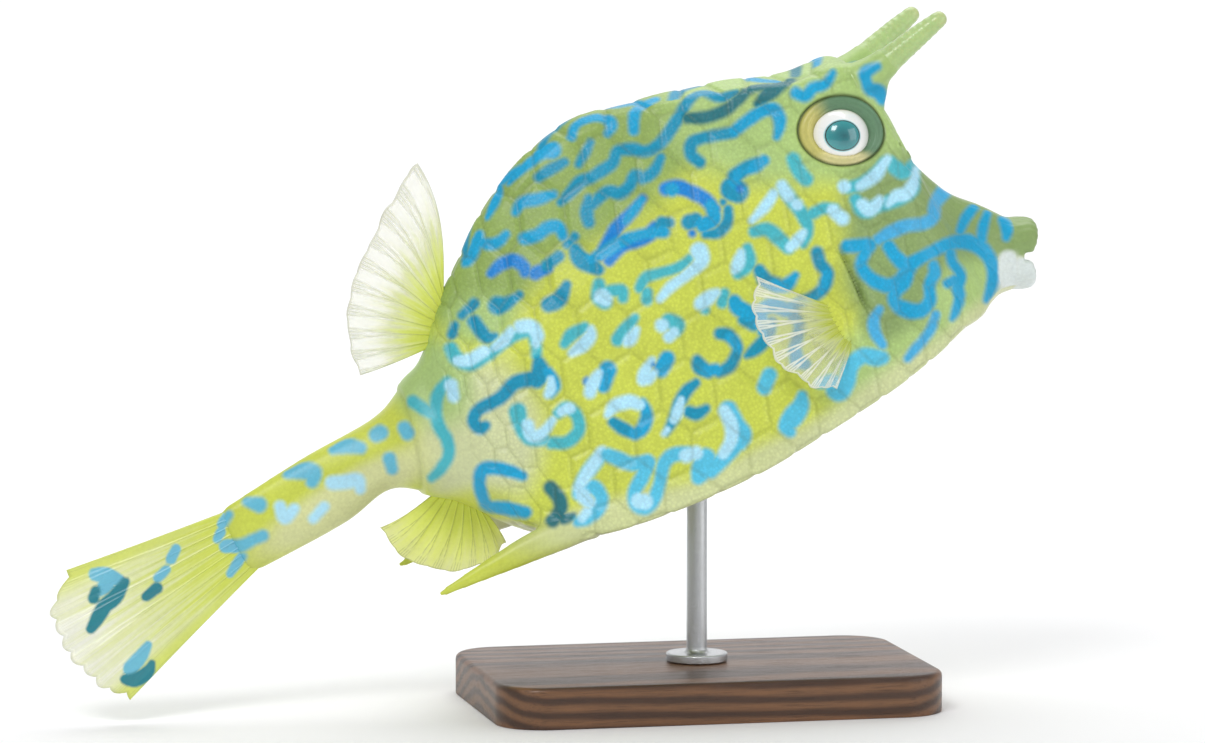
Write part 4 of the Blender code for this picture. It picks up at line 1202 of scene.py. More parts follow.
class Graph:
    """Adds and joins nodes in one tree."""

    def __init__(self, tree: bpy.types.NodeTree) -> None:
        """Keeps the tree that the nodes go into."""
        self.tree = tree

    def feed(self, node: bpy.types.Node, plugs: dict[Any, Plug]) -> None:
        """Joins wires to a node's inputs, or sets plain values on them.

        Args:
            node: The node.
            plugs: A wire or a value for each input's name or number.
        """
        for key, value in plugs.items():
            if isinstance(value, Wire):
                self.tree.links.new(value.socket, node.inputs[key])
            else:
                node.inputs[key].default_value = value

    def node(self, kind: str, plugs: dict[Any, Plug], **settings: Any) -> bpy.types.Node:
        """Adds a node.

        Args:
            kind: The node's type.
            plugs: A wire or a value for each input's name or number.
            settings: The node's properties.

        Returns:
            The new node.
        """
        made = self.tree.nodes.new(kind)
        for key, value in settings.items():
            setattr(made, key, value)
        self.feed(made, plugs)
        return made

    def wire(self, kind: str, plugs: dict[Any, Plug], output: Any = 0, **settings: Any) -> Wire:
        """Adds a node and gives one of its outputs."""
        return Wire(self, self.node(kind, plugs, **settings).outputs[output])

    def math(self, operation: str, first: Plug, second: Plug = 0.0) -> Wire:
        """Adds one sum and gives its result."""
        return self.wire("ShaderNodeMath", {0: first, 1: second}, operation=operation)

    def most(self, first: Wire, second: Plug) -> Wire:
        """Gives the greater of two values."""
        return self.math("MAXIMUM", first, second)

    def mix(self, factor: Plug, first: Plug, second: Plug, blend: str = "MIX") -> Wire:
        """Mixes two colours and gives the result."""
        plugs = {0: factor, 6: first, 7: second}
        return self.wire("ShaderNodeMix", plugs, 2, data_type="RGBA", blend_type=blend)

    def noise(self, vector: Wire, scale: float, detail: float = 3.0, rough: float = 0.55) -> Wire:
        """Adds a noise texture and gives its value."""
        plugs = {"Vector": vector, "Scale": scale, "Detail": detail, "Roughness": rough}
        return self.wire("ShaderNodeTexNoise", plugs, "Fac")

    def span(self, value: Plug, low: float, high: float, to_low: Plug = 0.0, to_high: Plug = 1.0) -> Wire:
        """Maps a value smoothly from one range to another."""
        plugs = dict(enumerate((value, low, high, to_low, to_high)))
        return self.wire("ShaderNodeMapRange", plugs, interpolation_type="SMOOTHSTEP")

    def scaled(self, vector: Wire, scale: tuple[float, float, float]) -> Wire:
        """Stretches a vector."""
        return self.wire("ShaderNodeMapping", {"Vector": vector, "Scale": scale})

    def lit(self, colour: Wire, brightness: Wire) -> Wire:
        """Multiplies a colour's brightness."""
        return self.wire("ShaderNodeHueSaturation", {"Color": colour, "Value": brightness})

    def ramp(self, value: Wire, *stops: tuple[float, Screen]) -> Wire:
        """Adds a colour ramp.

        Args:
            value: Where the ramp is read.
            stops: The place and the screen colour of each stop.

        Returns:
            The ramp's colour.
        """
        made = self.node("ShaderNodeValToRGB", {0: value})
        points = made.color_ramp.elements
        while len(points) < len(stops):
            points.new(0.5)
        for point, (place, colour) in zip(points, stops):
            point.position = place
            point.color = linear(*colour)
        return Wire(self, made.outputs[0])

    def read(self, name: str, output: str = "Fac") -> Wire:
        """Reads what the mesh holds under a name."""
        return self.wire("ShaderNodeAttribute", {}, output, attribute_name=name)

    def place(self) -> Wire:
        """Gives the point's own coordinates in metres."""
        return self.wire("ShaderNodeTexCoord", {}, "Object")

    def bump(self, height: Wire, distance: float, strength: float = 1.0) -> Wire:
        """Adds a bump and gives its normal."""
        return self.wire("ShaderNodeBump", {"Height": height, "Distance": distance, "Strength": strength})

    def effect(self, tree: bpy.types.NodeTree, **plugs: Plug) -> dict[str, Wire]:
        """Places a shared effect with its own values, and gives its outputs by name."""
        made = self.node("ShaderNodeGroup", plugs, node_tree=tree)
        return {output.name: Wire(self, output) for output in made.outputs}


class Kind(Enum):
    """The kinds of socket that a shared effect has."""

    NUMBER = "NodeSocketFloat"
    COLOUR = "NodeSocketColor"
    VECTOR = "NodeSocketVector"


class Effects:
    """The shader effects that several finishes share, each built once as a node group."""

    @staticmethod
    def start(name: str, inputs: dict[str, Kind], outputs: dict[str, Kind]) -> tuple[Graph, dict[str, Wire]]:
        """Starts a node group.

        Args:
            name: The group's name.
            inputs: The kind of each input.
            outputs: The kind of each output.

        Returns:
            The group's graph, and the wires that come in.
        """
        tree = bpy.data.node_groups.new(name, "ShaderNodeTree")
        for way, sockets in (("INPUT", inputs), ("OUTPUT", outputs)):
            for label, kind in sockets.items():
                tree.interface.new_socket(label, in_out=way, socket_type=kind.value)
        graph = Graph(tree)
        given = graph.node("NodeGroupInput", {})
        return graph, {label: Wire(graph, given.outputs[label]) for label in inputs}

    @staticmethod
    def end(graph: Graph, **results: Wire) -> bpy.types.NodeTree:
        """Joins the results to the group's outputs and gives the group."""
        graph.node("NodeGroupOutput", results)
        return graph.tree

    @classmethod
    @functools.cache
    def mottle(cls) -> bpy.types.NodeTree:
        """Varies a colour in soft blotches and fine freckles.

        Returns:
            The node group, the same one each time.
        """
        graph, given = cls.start(
            "mottle",
            {"Colour": Kind.COLOUR, "Vector": Kind.VECTOR, "Blotches": Kind.NUMBER, "Freckles": Kind.NUMBER},
            {"Colour": Kind.COLOUR, "Mask": Kind.NUMBER},
        )
        blotches = (graph.noise(given["Vector"], 60, 3) - 0.5) * given["Blotches"]
        freckles = (graph.noise(given["Vector"], 900, 2) - 0.5) * given["Freckles"]
        total = blotches + freckles
        return cls.end(graph, Colour=graph.lit(given["Colour"], total * 2.4 + 1.0), Mask=total + 0.5)

    @classmethod
    @functools.cache
    def granules(cls) -> bpy.types.NodeTree:
        """Raises small grains in the skin.

        Returns:
            The node group, the same one each time.
        """
        graph, given = cls.start(
            "granules",
            {"Vector": Kind.VECTOR, "Scale": Kind.NUMBER, "Amount": Kind.NUMBER},
            {"Height": Kind.NUMBER},
        )
        plugs = {"Vector": given["Vector"], "Scale": given["Scale"]}
        cells = graph.wire("ShaderNodeTexVoronoi", plugs, "Distance", feature="F1")
        dome = graph.span(cells, 0.0, 0.75, 1.0, 0.0)
        pores = graph.noise(given["Vector"], 2600, 2)
        return cls.end(graph, Height=(dome * 0.7 + pores * 0.3) * given["Amount"])

    @classmethod
    @functools.cache
    def ink(cls) -> bpy.types.NodeTree:
        """Lays the scrawls over the ground with a soft, slightly uneven edge.

        Returns:
            The node group, the same one each time.
        """
        graph, given = cls.start(
            "ink",
            {"Ground": Kind.COLOUR, "Ink": Kind.COLOUR, "Edge": Kind.NUMBER, "Vector": Kind.VECTOR,
             "Softness": Kind.NUMBER, "Waver": Kind.NUMBER},
            {"Colour": Kind.COLOUR, "Mask": Kind.NUMBER},
        )
        wave = (graph.noise(given["Vector"], 420, 3) - 0.5) * given["Waver"]
        mask = graph.span((given["Edge"] + wave) / given["Softness"], -1.0, 1.0, 1.0, 0.0)
        return cls.end(graph, Colour=graph.mix(mask, given["Ground"], given["Ink"]), Mask=mask)

    @classmethod
    @functools.cache
    def grain(cls) -> bpy.types.NodeTree:
        """Runs long grain along X: rings round a pith beside the piece, and pores.

        Returns:
            The node group, the same one each time.
        """
        graph, given = cls.start(
            "grain",
            {"Vector": Kind.VECTOR, "Scale": Kind.NUMBER},
            {"Bands": Kind.NUMBER, "Pores": Kind.NUMBER},
        )
        plugs = {0: given["Vector"], "Scale": given["Scale"]}
        sized = graph.wire("ShaderNodeVectorMath", plugs, operation="SCALE")
        from_pith = graph.wire("ShaderNodeVectorMath", {0: sized, 1: (0.0, 0.4, 2.0)}, operation="ADD")
        flat = graph.scaled(from_pith, (0.02, 1.0, 1.0))
        distance = graph.wire("ShaderNodeVectorMath", {0: flat}, "Value", operation="LENGTH")
        rings = graph.math("SINE", distance * 46.0 + graph.noise(sized, 0.8, 4, 0.6) * 15.0)
        pores = graph.span(graph.noise(sized, 14, 4, 0.75), 0.45, 0.75)
        return cls.end(graph, Bands=graph.span(rings, -1.0, 1.0), Pores=pores)


class Finish:
    """What the finishes share: a named material with one Principled shader."""

    name: str

    def sockets(self, graph: Graph) -> dict[str, Plug]:
        """Gives what feeds the shader: a wire or a value for each socket."""
        raise NotImplementedError

    def build(self) -> bpy.types.Material:
        """Builds the material.

        Returns:
            The material.
        """
        material = bpy.data.materials.new(self.name)
        material.use_nodes = True
        graph = Graph(material.node_tree)
        graph.feed(material.node_tree.nodes["Principled BSDF"], self.sockets(graph))
        return material


@dataclass(frozen=True)
class SkinFinish(Finish):
    """Moist skin over fine grains: its ground and scrawls come from the mesh, with painted shade in the
    grooves and a painted highlight on the grain tops.
    """

    name: str = "moist_skin"
    roughness: tuple[float, float] = (0.34, 0.5)
    # the colour of the painted shade in the plate grooves, the gill slits, the nostrils and the crease at the
    # tail stalk's collar
    groove_shade: Screen = (92, 104, 52)
    grain: float = 0.0001

    def sockets(self, graph: Graph) -> dict[str, Plug]:
        """Gives what feeds the shader.

        Args:
            graph: The material's graph.

        Returns:
            A wire or a value for each socket.
        """
        place = graph.place()
        ink = graph.effect(
            Effects.ink(), Ground=graph.read("ground", "Color"), Ink=graph.read("ink", "Color"),
            Edge=graph.read("ink_edge"), Vector=place, Softness=1.0, Waver=0.5,
        )
        mottle = graph.effect(
            Effects.mottle(), Colour=ink["Colour"], Vector=place, Blotches=0.14, Freckles=0.1
        )
        # painted shade: the colour is darkened towards the groove colour in the grooves, gill slits, nostrils
        # and the collar's crease
        shade = graph.mix(graph.read("groove_shade") * 0.18, mottle["Colour"], linear(*self.groove_shade))
        bony = graph.read("bony")
        grains = graph.effect(Effects.granules(), Vector=place, Scale=950.0, Amount=bony)["Height"]
        return {
            # a painted highlight: the colour is brightened on the grain tops, whose heights also make the bump
            "Base Color": graph.lit(shade, grains * 0.2 + 0.95),
            "Roughness": graph.span(mottle["Mask"], 0.4, 0.6, *self.roughness),
            "Normal": graph.bump(grains, self.grain),
            "Coat Weight": 0.28,
            "Coat Roughness": 0.3,
            "Specular IOR Level": 0.32,
            "Subsurface Weight": 0.05,
            "Subsurface Radius": (1.0, 0.8, 0.45),
            "Subsurface Scale": 0.0015,
        }


@dataclass(frozen=True)
class FinFinish(Finish):
    """Thin clear fin between dark rays, yellow-green at its root."""

    name: str
    clear: float
    root_reach: float
    ray_dark: float
    solid: float = 1.0
    flanks: float = 0.0
    streaks: float = 0.85
    root: Screen = (208, 219, 84)
    web: Screen = (252, 253, 238)
    ray: Screen = (74, 84, 44)

    def sockets(self, graph: Graph) -> dict[str, Plug]:
        """Gives what feeds the shader.

        Args:
            graph: The material's graph.

        Returns:
            A wire or a value for each socket.
        """
        place, fan, line = graph.place(), graph.read("fan", "Vector"), graph.read("ray")
        streak = (graph.noise(graph.scaled(fan, (26.0, 1.6, 1.0)), 1.0, 4, 0.6) - 0.5) * self.streaks
        root = graph.span(graph.read("out") + streak, 0.05, self.root_reach, 1.0, 0.0)
        off_middle = graph.math("ABSOLUTE", graph.wire("ShaderNodeSeparateXYZ", {0: fan}) - 0.5)
        root = graph.most(root, graph.span(off_middle, 0.22, 0.46) * self.flanks)
        body = graph.mix(root, linear(*self.web), linear(*self.root))
        body = graph.mix(graph.span(line, 0.35, 0.95) * self.ray_dark, body, linear(*self.ray))
        ink = graph.effect(
            Effects.ink(), Ground=body, Ink=graph.read("ink", "Color"),
            Edge=graph.read("ink_edge"), Vector=place, Softness=0.5, Waver=0.6,
        )
        mottle = graph.effect(
            Effects.mottle(), Colour=ink["Colour"], Vector=place, Blotches=0.06, Freckles=0.05
        )
        covered = graph.most(graph.most(graph.span(line, 0.1, 0.7), ink["Mask"]), root)
        return {
            "Base Color": mottle["Colour"],
            "Alpha": graph.span(covered, 0.0, 0.8, self.clear, self.solid),
            "Normal": graph.bump(graph.noise(graph.scaled(fan, (90.0, 22.0, 1.0)), 1.0, 3), 0.0001, 0.6),
            "Roughness": 0.38,
            "Coat Weight": 0.25,
            "Coat Roughness": 0.2,
            "Subsurface Weight": 0.2,
            "Subsurface Radius": (1.0, 0.9, 0.6),
            "Subsurface Scale": 0.001,
        }


@dataclass(frozen=True)
class HornFinish(Finish):
    """Skin-covered bone: grained and green at the root, paler and smoother at the tip."""

    name: str = "horn_bone"

    def sockets(self, graph: Graph) -> dict[str, Plug]:
        """Gives what feeds the shader.

        Args:
            graph: The material's graph.

        Returns:
            A wire or a value for each socket.
        """
        place, out = graph.place(), graph.read("out")
        body = graph.ramp(
            out,
            (0.0, (176, 203, 130)), (0.55, (178, 204, 132)), (0.86, (179, 204, 133)), (1.0, (192, 208, 144)),
        )
        mottle = graph.effect(Effects.mottle(), Colour=body, Vector=place, Blotches=0.12, Freckles=0.12)
        amount = graph.span(out, 0.95, 0.4, 0.25, 1.0)
        grains = graph.effect(Effects.granules(), Vector=place, Scale=1300.0, Amount=amount)
        return {
            "Base Color": mottle["Colour"],
            "Roughness": graph.span(mottle["Mask"], 0.4, 0.6, 0.3, 0.46),
            "Normal": graph.bump(grains["Height"], 0.0001),
            "Coat Weight": 0.35,
            "Coat Roughness": 0.15,
            "Subsurface Weight": 0.12,
            "Subsurface Scale": 0.0015,
        }


@dataclass(frozen=True)
class EyeFinish(Finish):
    """A wet eye: white ring, dark line and teal pupil, read from each point's radius; painted shade darkens
    the pupil towards its lower front.
    """

    name: str = "wet_eye"

    def sockets(self, graph: Graph) -> dict[str, Plug]:
        """Gives what feeds the shader.

        Args:
            graph: The material's graph.

        Returns:
            A wire or a value for each socket.
        """
        radius = graph.read("oval")
        fibres = graph.noise(graph.read("iris", "Vector"), 3.2, 4, 0.65)
        rings = graph.ramp(
            (radius + (fibres - 0.5) * 0.22) / 10.0,
            (0.0, (20, 104, 112)), (0.26, (32, 132, 138)), (0.445, (43, 150, 155)), (0.475, (50, 158, 160)),
            (0.488, (8, 14, 14)), (0.506, (8, 14, 14)), (0.522, (150, 215, 220)), (0.56, (252, 253, 252)),
            (0.84, (254, 254, 251)), (0.92, (232, 232, 206)), (1.0, (120, 132, 90)),
        )
        spokes = graph.noise(graph.scaled(graph.read("spoke", "Vector"), (30.0, 1.2, 1.0)), 1.0, 3, 0.6)
        body = graph.mix(graph.span(spokes, 0.45, 0.8) * 0.07, rings, linear(150, 170, 150))
        # painted shade: the pupil is darkened towards its lower front, away from its lit side
        lit_side = graph.span(graph.read("round"), -0.2, 1.0) * 0.22
        pupil = graph.mix(lit_side, body, linear(70, 165, 168), "MULTIPLY")
        return {
            "Base Color": graph.mix(graph.span(radius, 4.9, 4.6), body, pupil),
            "Normal": graph.bump(spokes, 0.00005, 0.4),
            "Roughness": 0.22,
            "Coat Weight": 1.0,
            "Coat Roughness": 0.02,
            "Coat IOR": 1.6,
        }


@dataclass(frozen=True)
class WoodFinish(Finish):
    """Oiled dark wood with long grain and open pores."""

    name: str = "oiled_wood"
    light: Screen = (122, 84, 54)
    dark: Screen = (70, 44, 27)
    pore: Screen = (38, 23, 14)

    def sockets(self, graph: Graph) -> dict[str, Plug]:
        """Gives what feeds the shader.

        Args:
            graph: The material's graph.

        Returns:
            A wire or a value for each socket.
        """
        place = graph.place()
        wide, fine = (graph.scaled(place, (share, 1.0, 1.0)) for share in (0.16, 0.03))
        bands = graph.effect(Effects.grain(), Vector=wide, Scale=34.0)["Bands"]
        pores = graph.effect(Effects.grain(), Vector=fine, Scale=170.0)["Pores"]
        body = graph.mix(bands, linear(*self.light), linear(*self.dark))
        body = graph.mix(pores * 0.55, body, linear(*self.pore))
        mottle = graph.effect(Effects.mottle(), Colour=body, Vector=place, Blotches=0.18, Freckles=0.05)
        return {
            "Base Color": mottle["Colour"],
            "Roughness": graph.span(pores, 0.0, 1.0, 0.36, 0.62),
            "Normal": graph.bump(pores * -1.0, 0.00008),
            "Coat Weight": 0.18,
            "Coat Roughness": 0.3,
        }


@dataclass(frozen=True)
class SteelFinish(Finish):
    """Brushed steel."""

    name: str = "brushed_steel"

    def sockets(self, graph: Graph) -> dict[str, Plug]:
        """Gives what feeds the shader.

        Args:
            graph: The material's graph.

        Returns:
            A wire or a value for each socket.
        """
        across = graph.scaled(graph.place(), (1.0, 1.0, 18.0))
        brushed = graph.effect(Effects.grain(), Vector=across, Scale=120.0)["Pores"]
        return {
            "Base Color": graph.mix(brushed, linear(202, 204, 206), linear(168, 171, 174)),
            "Roughness": graph.span(brushed, 0.0, 1.0, 0.24, 0.4),
            "Normal": graph.bump(brushed, 0.00003),
            "Metallic": 1.0,
        }


@dataclass(frozen=True)
class FloorFinish(Finish):
    """The studio's plain pale floor."""

    name: str = "pale_floor"

    def sockets(self, graph: Graph) -> dict[str, Plug]:
        """Gives what feeds the shader.

        Args:
            graph: The material's graph.

        Returns:
            A wire or a value for each socket.
        """
        body = graph.mix(graph.noise(graph.place(), 6, 2), linear(249, 249, 250), linear(251, 251, 252))
        return {"Base Color": body, "Roughness": 0.75}


@dataclass
class Skin:
    """The one skin of body, head, tail stalk, keel spines, lips and horn roots."""

    form: BodyForm
    frame: BodyFrame
    view: SideView
    markings: Markings
    eyes: dict[int, EyeForm]
    # the shells, and the mesh that is grown over them
    voxel: float = 0.7
    rings: int = 260
    around: int = 240
    tail_cap: float = 5.5
    # the six-sided plates: how many there are, their relief and the proportions of a regular hexagon
    plate_rows: float = 9.0
    head_rows: float = 8.2
    plates_round: int = 18
    plate_margin: float = 0.35
    plate_raise: float = 0.38
    plate_dome: float = 0.3
    plate_sunk: float = 0.12
    plate_reach: float = 0.57735
    plate_lean: float = 0.86603
    dome_reach: float = 0.444
    groove_share: float = 0.26
    # the rest of the relief; the keel's has a steady part and one that swells at each plate
    keel_lift: tuple[float, float] = (0.18, 0.14)
    crest_lift: float = 0.25
    collar_lift: float = 0.85
    gill_depth: float = 1.5
    gill_lip: float = 0.55
    pad_lift: float = 1.1
    # horns, the skin below their roots, and keel spines: paths on the left side, and their radii
    horn_path: tuple = (
        (275, 9.8, 69.6), (282, 11.4, 69.9), (290, 13.0, 71.8), (298, 14.2, 73.7), (304.4, 15.0, 75.1),
    )
    horn_radii: tuple = (5.0, 4.4, 3.6, 3.0, 2.35)
    gusset_path: tuple = ((276.6, 8.6, 59.0), (279.0, 9.8, 62.0), (282.8, 11.3, 66.4))
    gusset_radii: tuple = (2.2, 2.4, 1.8)
    spine_path: tuple = (
        (150, 29.0, -4.3), (138, 30.4, -3.2), (126, 31.2, -2.3), (112, 31.6, -1.9), (98, 31.4, -1.8),
    )
    spine_radii: tuple = ((4.4, 5.0), (4.1, 4.8), (3.2, 4.0), (2.0, 2.5), (0.65, 0.9))
    # each lip: how far it reaches, how tall and deep it is, and how far it stands forward
    lip_centre: tuple[float, float, float] = (298.4, 0.0, -0.3)
    lip_lean: float = math.radians(27)
    lip_half: float = 6.6
    lip_gap: float = 1.1
    upper_lip: tuple[float, float, float, float] = (6.1, 5.1, 5.0, 0.2)
    lower_lip: tuple[float, float, float, float] = (5.5, 4.5, 4.4, 0.5)
    # the mouth's half width, half height and depth, then places along and up in the side view
    slot: tuple[float, float, float] = (5.2, 1.5, 3.4)
    nostrils: tuple = ((277.8, 47.5), (279.3, 43.5))
    pectoral: tuple[float, float] = (236.0, 12.0)
    # the inside of the mouth: the flesh's reddish colour, darkened as painted shade in the hollow
    throat_flesh_and_shade: Screen = (70, 40, 38)

    def lip_axes(self) -> tuple[Rows, Rows, Rows]:
        """Gives the way the mouth faces, its rise and its side."""
        c, s = math.cos(self.lip_lean), math.sin(self.lip_lean)
        return np.array([c, 0, -s]), np.array([s, 0, c]), np.array([0, 1.0, 0])

    def body_rings(self) -> list[Rows]:
        """Gives the rings of the loft, with a rounded end round the root of the tail fin.

        Returns:
            The rings, from the tail to the mouth.
        """
        turns = np.arange(self.around) * 2 / self.around
        rings = [self.form.ring(place, turns) for place in self.form.run(0, self.form.end(), self.rings)]
        first, middle = rings[0], rings[0].mean(axis=0)
        for share in (0.2, 0.4, 0.6, 0.78, 0.92, 1.0):
            narrow = math.sqrt(1 - share**2) * 0.92 + 0.06
            away = (first - middle) * (1, narrow, 1 - 0.12 * share**2)
            rings.insert(0, middle + away - (self.tail_cap * share, 0, 0))
        last, centre = rings[-1], rings[-1].mean(axis=0)
        rings.append(centre + (last - centre) * 0.82 + self.lip_axes()[0] * 1.2)
        return rings

    def lip_rings(self, sign: int, size: tuple[float, float, float, float]) -> list[Rows]:
        """Gives the rings of one lip, a bow that thins towards the corners of the mouth.

        Args:
            sign: 1 for the upper lip, -1 for the lower.
            size: Its reach from the mouth's middle, its height, its depth and how far it stands forward.

        Returns:
            The rings, from one corner to the other.
        """
        facing, rise, side = self.lip_axes()
        reach, tall, deep, forward = size
        angles = np.arange(40) * math.tau / 40
        blunt = np.where(np.sin(angles) > 0, 0.5, 1.2)
        fore = np.sign(np.cos(angles)) * np.abs(np.cos(angles)) ** blunt
        outer = np.sign(np.sin(angles)) * np.abs(np.sin(angles)) ** blunt
        rings = []
        for bow in np.linspace(-0.05, 1.05, 45) * math.pi:
            across, over = math.cos(bow), max(math.sin(bow), 0.0)
            fade = over**0.7
            far = self.lip_gap + (reach - self.lip_gap) * fade
            centre = np.array(self.lip_centre) + side * across * self.lip_half + rise * sign * far
            centre = centre + facing * (forward + 0.5 * fade - 0.6)
            outward = unit(side * across * 0.8 + rise * sign * max(over, 0.12))
            rings.append(
                centre + np.outer(fore * deep * (0.6 + 0.4 * fade), facing)
                + np.outer(outer * tall * (0.42 + 0.58 * fade), outward)
            )
        return rings

    def shells(self) -> tuple[Rows, Faces]:
        """Collects the closed shells that the skin is grown over.

        Returns:
            All their points and faces.
        """
        groups = [self.body_rings(), self.lip_rings(1, self.upper_lip), self.lip_rings(-1, self.lower_lip)]
        for side, _ in SIDES:
            groups.append(taper_rings(*through(self.spine_path, self.spine_radii, 30, side), 28))
            path, radii = through(self.horn_path, self.horn_radii, 34, side)
            sleeve = ease(np.arange(34), 15, 12)[:, None]
            groups.append(taper_rings(path[:22], (radii + 0.45 * sleeve - 0.5 * (1 - sleeve))[:22], 32))
            groups.append(taper_rings(*through(self.gusset_path, self.gusset_radii, 16, side), 24))
        points, faces = np.empty((0, 3)), []
        for rings in groups:
            more, shell = Mesher.tube(rings, len(points))
            points = np.concatenate([points, more])
            faces += shell
        return points, faces

    def blend_weight(self, points: Rows) -> Rows:
        """Gives where the grown skin is relaxed, so that one form flows into the next.

        Args:
            points: Rows of along, side and up.

        Returns:
            Numbers from 0 to 1.
        """
        weight = np.zeros(len(points))
        for side, _ in SIDES:
            flip = np.array([1, side, 1])
            first, second = np.array(self.spine_path[:2]) * flip
            away = points - (first * 0.25 + second * 0.75)
            weight = np.maximum(weight, ease(np.linalg.norm(away * (0.7, 1, 1), axis=1), 13, 6))
            away = points - self.horn_path[1] * flip
            weight = np.maximum(weight, ease(np.linalg.norm(away, axis=1), 10.5, 6))
        facing, rise, _ = self.lip_axes()
        away = points - self.lip_centre
        lips = ease(np.abs(away @ facing + 4.0), 4.5, 2.0) * (np.abs(away @ rise) < 18) * 0.9
        return np.maximum(weight, lips)

    def plate_chart(self, place: Rows) -> Rows:
        """Turns places into plate columns: even on the carapace, then evenly far apart over the head.

        Args:
            place: Places along the stations.

        Returns:
            The columns, which are whole numbers between plates.
        """
        start, end = self.form.place("rump") - 0.45, self.form.place("gill")
        step = (end - start) / (self.plate_rows + 2 * self.plate_margin)
        head = self.form.run(end, self.form.end(), 60)
        columns = (end - start) / step - self.plate_margin + np.arange(60) / 59 * self.head_rows
        back = (place - start) / step - self.plate_margin
        return np.where(place < end, back, np.interp(place, head, columns))

    def plates(self, place: Rows, turn: Rows) -> tuple[Rows, Rows, Rows]:
        """Measures the six-sided plates.

        Args:
            place: The place of each point.
            turn: The turn of each point.

        Returns:
            How far each point is from its plate's edge, from 0 to 1, its height on a round dome over
            the plate, and how bony the skin is there.
        """
        across, down = self.plate_chart(place), turn * self.plates_round
        column = np.floor(across)
        best, middle = np.full(len(place), 9.0), np.full(len(place), 9.0)
        for k in (column - 1, column, column + 1):
            parity = np.mod(k + 1, 2)
            row = 2 * np.round((down - parity) / 2) + parity
            for extra in (-2, 0, 2):
                dx = np.abs(across - (k + 0.5))
                dy = np.abs(down - (row + extra)) * self.plate_reach
                best = np.minimum(best, np.maximum(dy, dx * self.plate_lean + dy * 0.5))
                middle = np.minimum(middle, dx**2 + dy**2)
        inside = np.clip(1 - best / self.plate_reach, 0, 1)
        bony = ease(place, self.form.place("rim") + 0.55, self.form.place("haunch") + 0.3)
        bony *= 1 - 0.82 * ease(place, self.form.place("nape") - 0.3, self.form.place("face"))
        return inside, np.clip(1 - middle / self.dome_reach, 0, 1), bony

    def relief(self, points: Rows, place: Rows, turn: Rows, off: Rows) -> tuple[Rows, Rows, Rows]:
        """Works out the fine relief of the skin.

        Args:
            points: Rows of along, side and up.
            place: The place of each point.
            turn: The turn of each point.
            off: The distance of each point from the loft.

        Returns:
            The lift along the normal, the mask of painted shade in the grooves, and the bony mask.
        """
        on_body = ease(off, 1.6, 0.5)
        inside, dome, bony = self.plates(place, turn)
        bony = bony * on_body
        raised = ease(inside, 0.02, self.groove_share)
        lift = bony * (self.plate_raise * raised + self.plate_dome * dome - self.plate_sunk)
        # painted shade in the grooves between the plates
        groove_shade = bony * ease(inside, self.groove_share * 0.5, 0.01)
        folded = self.form.folded(turn)
        keel = hump(folded, self.form.keel_turn, 0.018) * on_body * bony
        steady, wavy = self.keel_lift
        lift += keel * (steady + wavy * np.cos(self.plate_chart(place) * math.tau))
        lift += hump(folded, 0, 0.02) * bony * self.crest_lift
        rim = self.form.place("rim")
        collar = ease(place, rim - 0.12, rim + 0.06) * ease(place, rim + 0.75, rim + 0.2)
        lift += collar * self.collar_lift * on_body
        # painted shade in the crease on the tail side of the collar round the stalk
        groove_shade = np.maximum(groove_shade, hump(place, rim - 0.12, 0.07) * 0.8 * on_body)
        for side, _ in SIDES:
            lift, groove_shade = self.cheek(points, side, lift, groove_shade)
        return lift, groove_shade, np.maximum(bony, 0.25 * on_body)

    def cheek(self, points: Rows, side: int, lift: Rows, groove_shade: Rows) -> tuple[Rows, Rows]:
        """Adds one side's gill opening, nostrils and the pad under its pectoral fin, with painted shade in the
        gill opening and the nostrils.

        Args:
            points: Rows of along, side and up.
            side: 1 for the left, -1 for the right.
            lift: The lift of each point so far.
            groove_shade: The mask of painted shade in the grooves so far.

        Returns:
            The new lift and the new mask of painted shade.
        """
        gill = self.form.place("gill") + 0.32
        shares = np.linspace(0, 1, 24)
        path = np.array([self.form.point(gill - 0.1 * t, 0.385 + 0.15 * t) for t in shares]) * (1, side, 1)
        near = np.flatnonzero(np.linalg.norm(points - path[12], axis=1) < 26)
        away = points[near][:, None, :] - path[None, :, :]
        length = np.linalg.norm(away, axis=2)
        which = length.argmin(axis=1)
        gap, ahead = length[np.arange(len(near)), which], away[np.arange(len(near)), which, 0]
        ends = np.sin(np.clip((which + 0.5) / 24, 0, 1) * math.pi) ** 0.5
        lift[near] -= hump(gap, 0, 0.75) * self.gill_depth * ends
        lift[near] += hump(gap, 1.9, 1.1) * self.gill_lip * ends * (ahead > 0)
        # painted shade along the gill opening
        groove_shade[near] = np.maximum(groove_shade[near], hump(gap, 0, 0.7) * 2.4 * ends)
        for along, up in self.nostrils:
            centre, _ = self.form.flank(along, up, side)
            gap = np.linalg.norm(points - centre, axis=1)
            lift += (hump(gap, 1.0, 0.5) * 0.4 - hump(gap, 0, 0.55) * 0.9) * (gap < 4)
            # painted shade in the nostrils
            groove_shade = np.maximum(groove_shade, hump(gap, 0, 0.6) * 3.0 * (gap < 4))
        centre, _ = self.form.flank(*self.pectoral, side)
        oval = np.linalg.norm((points - centre) * (1.0, 0.6, 0.42), axis=1)
        lift += ease(oval, 5.2, 1.5) * self.pad_lift * (np.abs(points[:, 1] - centre[1]) < 12)
        return lift, groove_shade

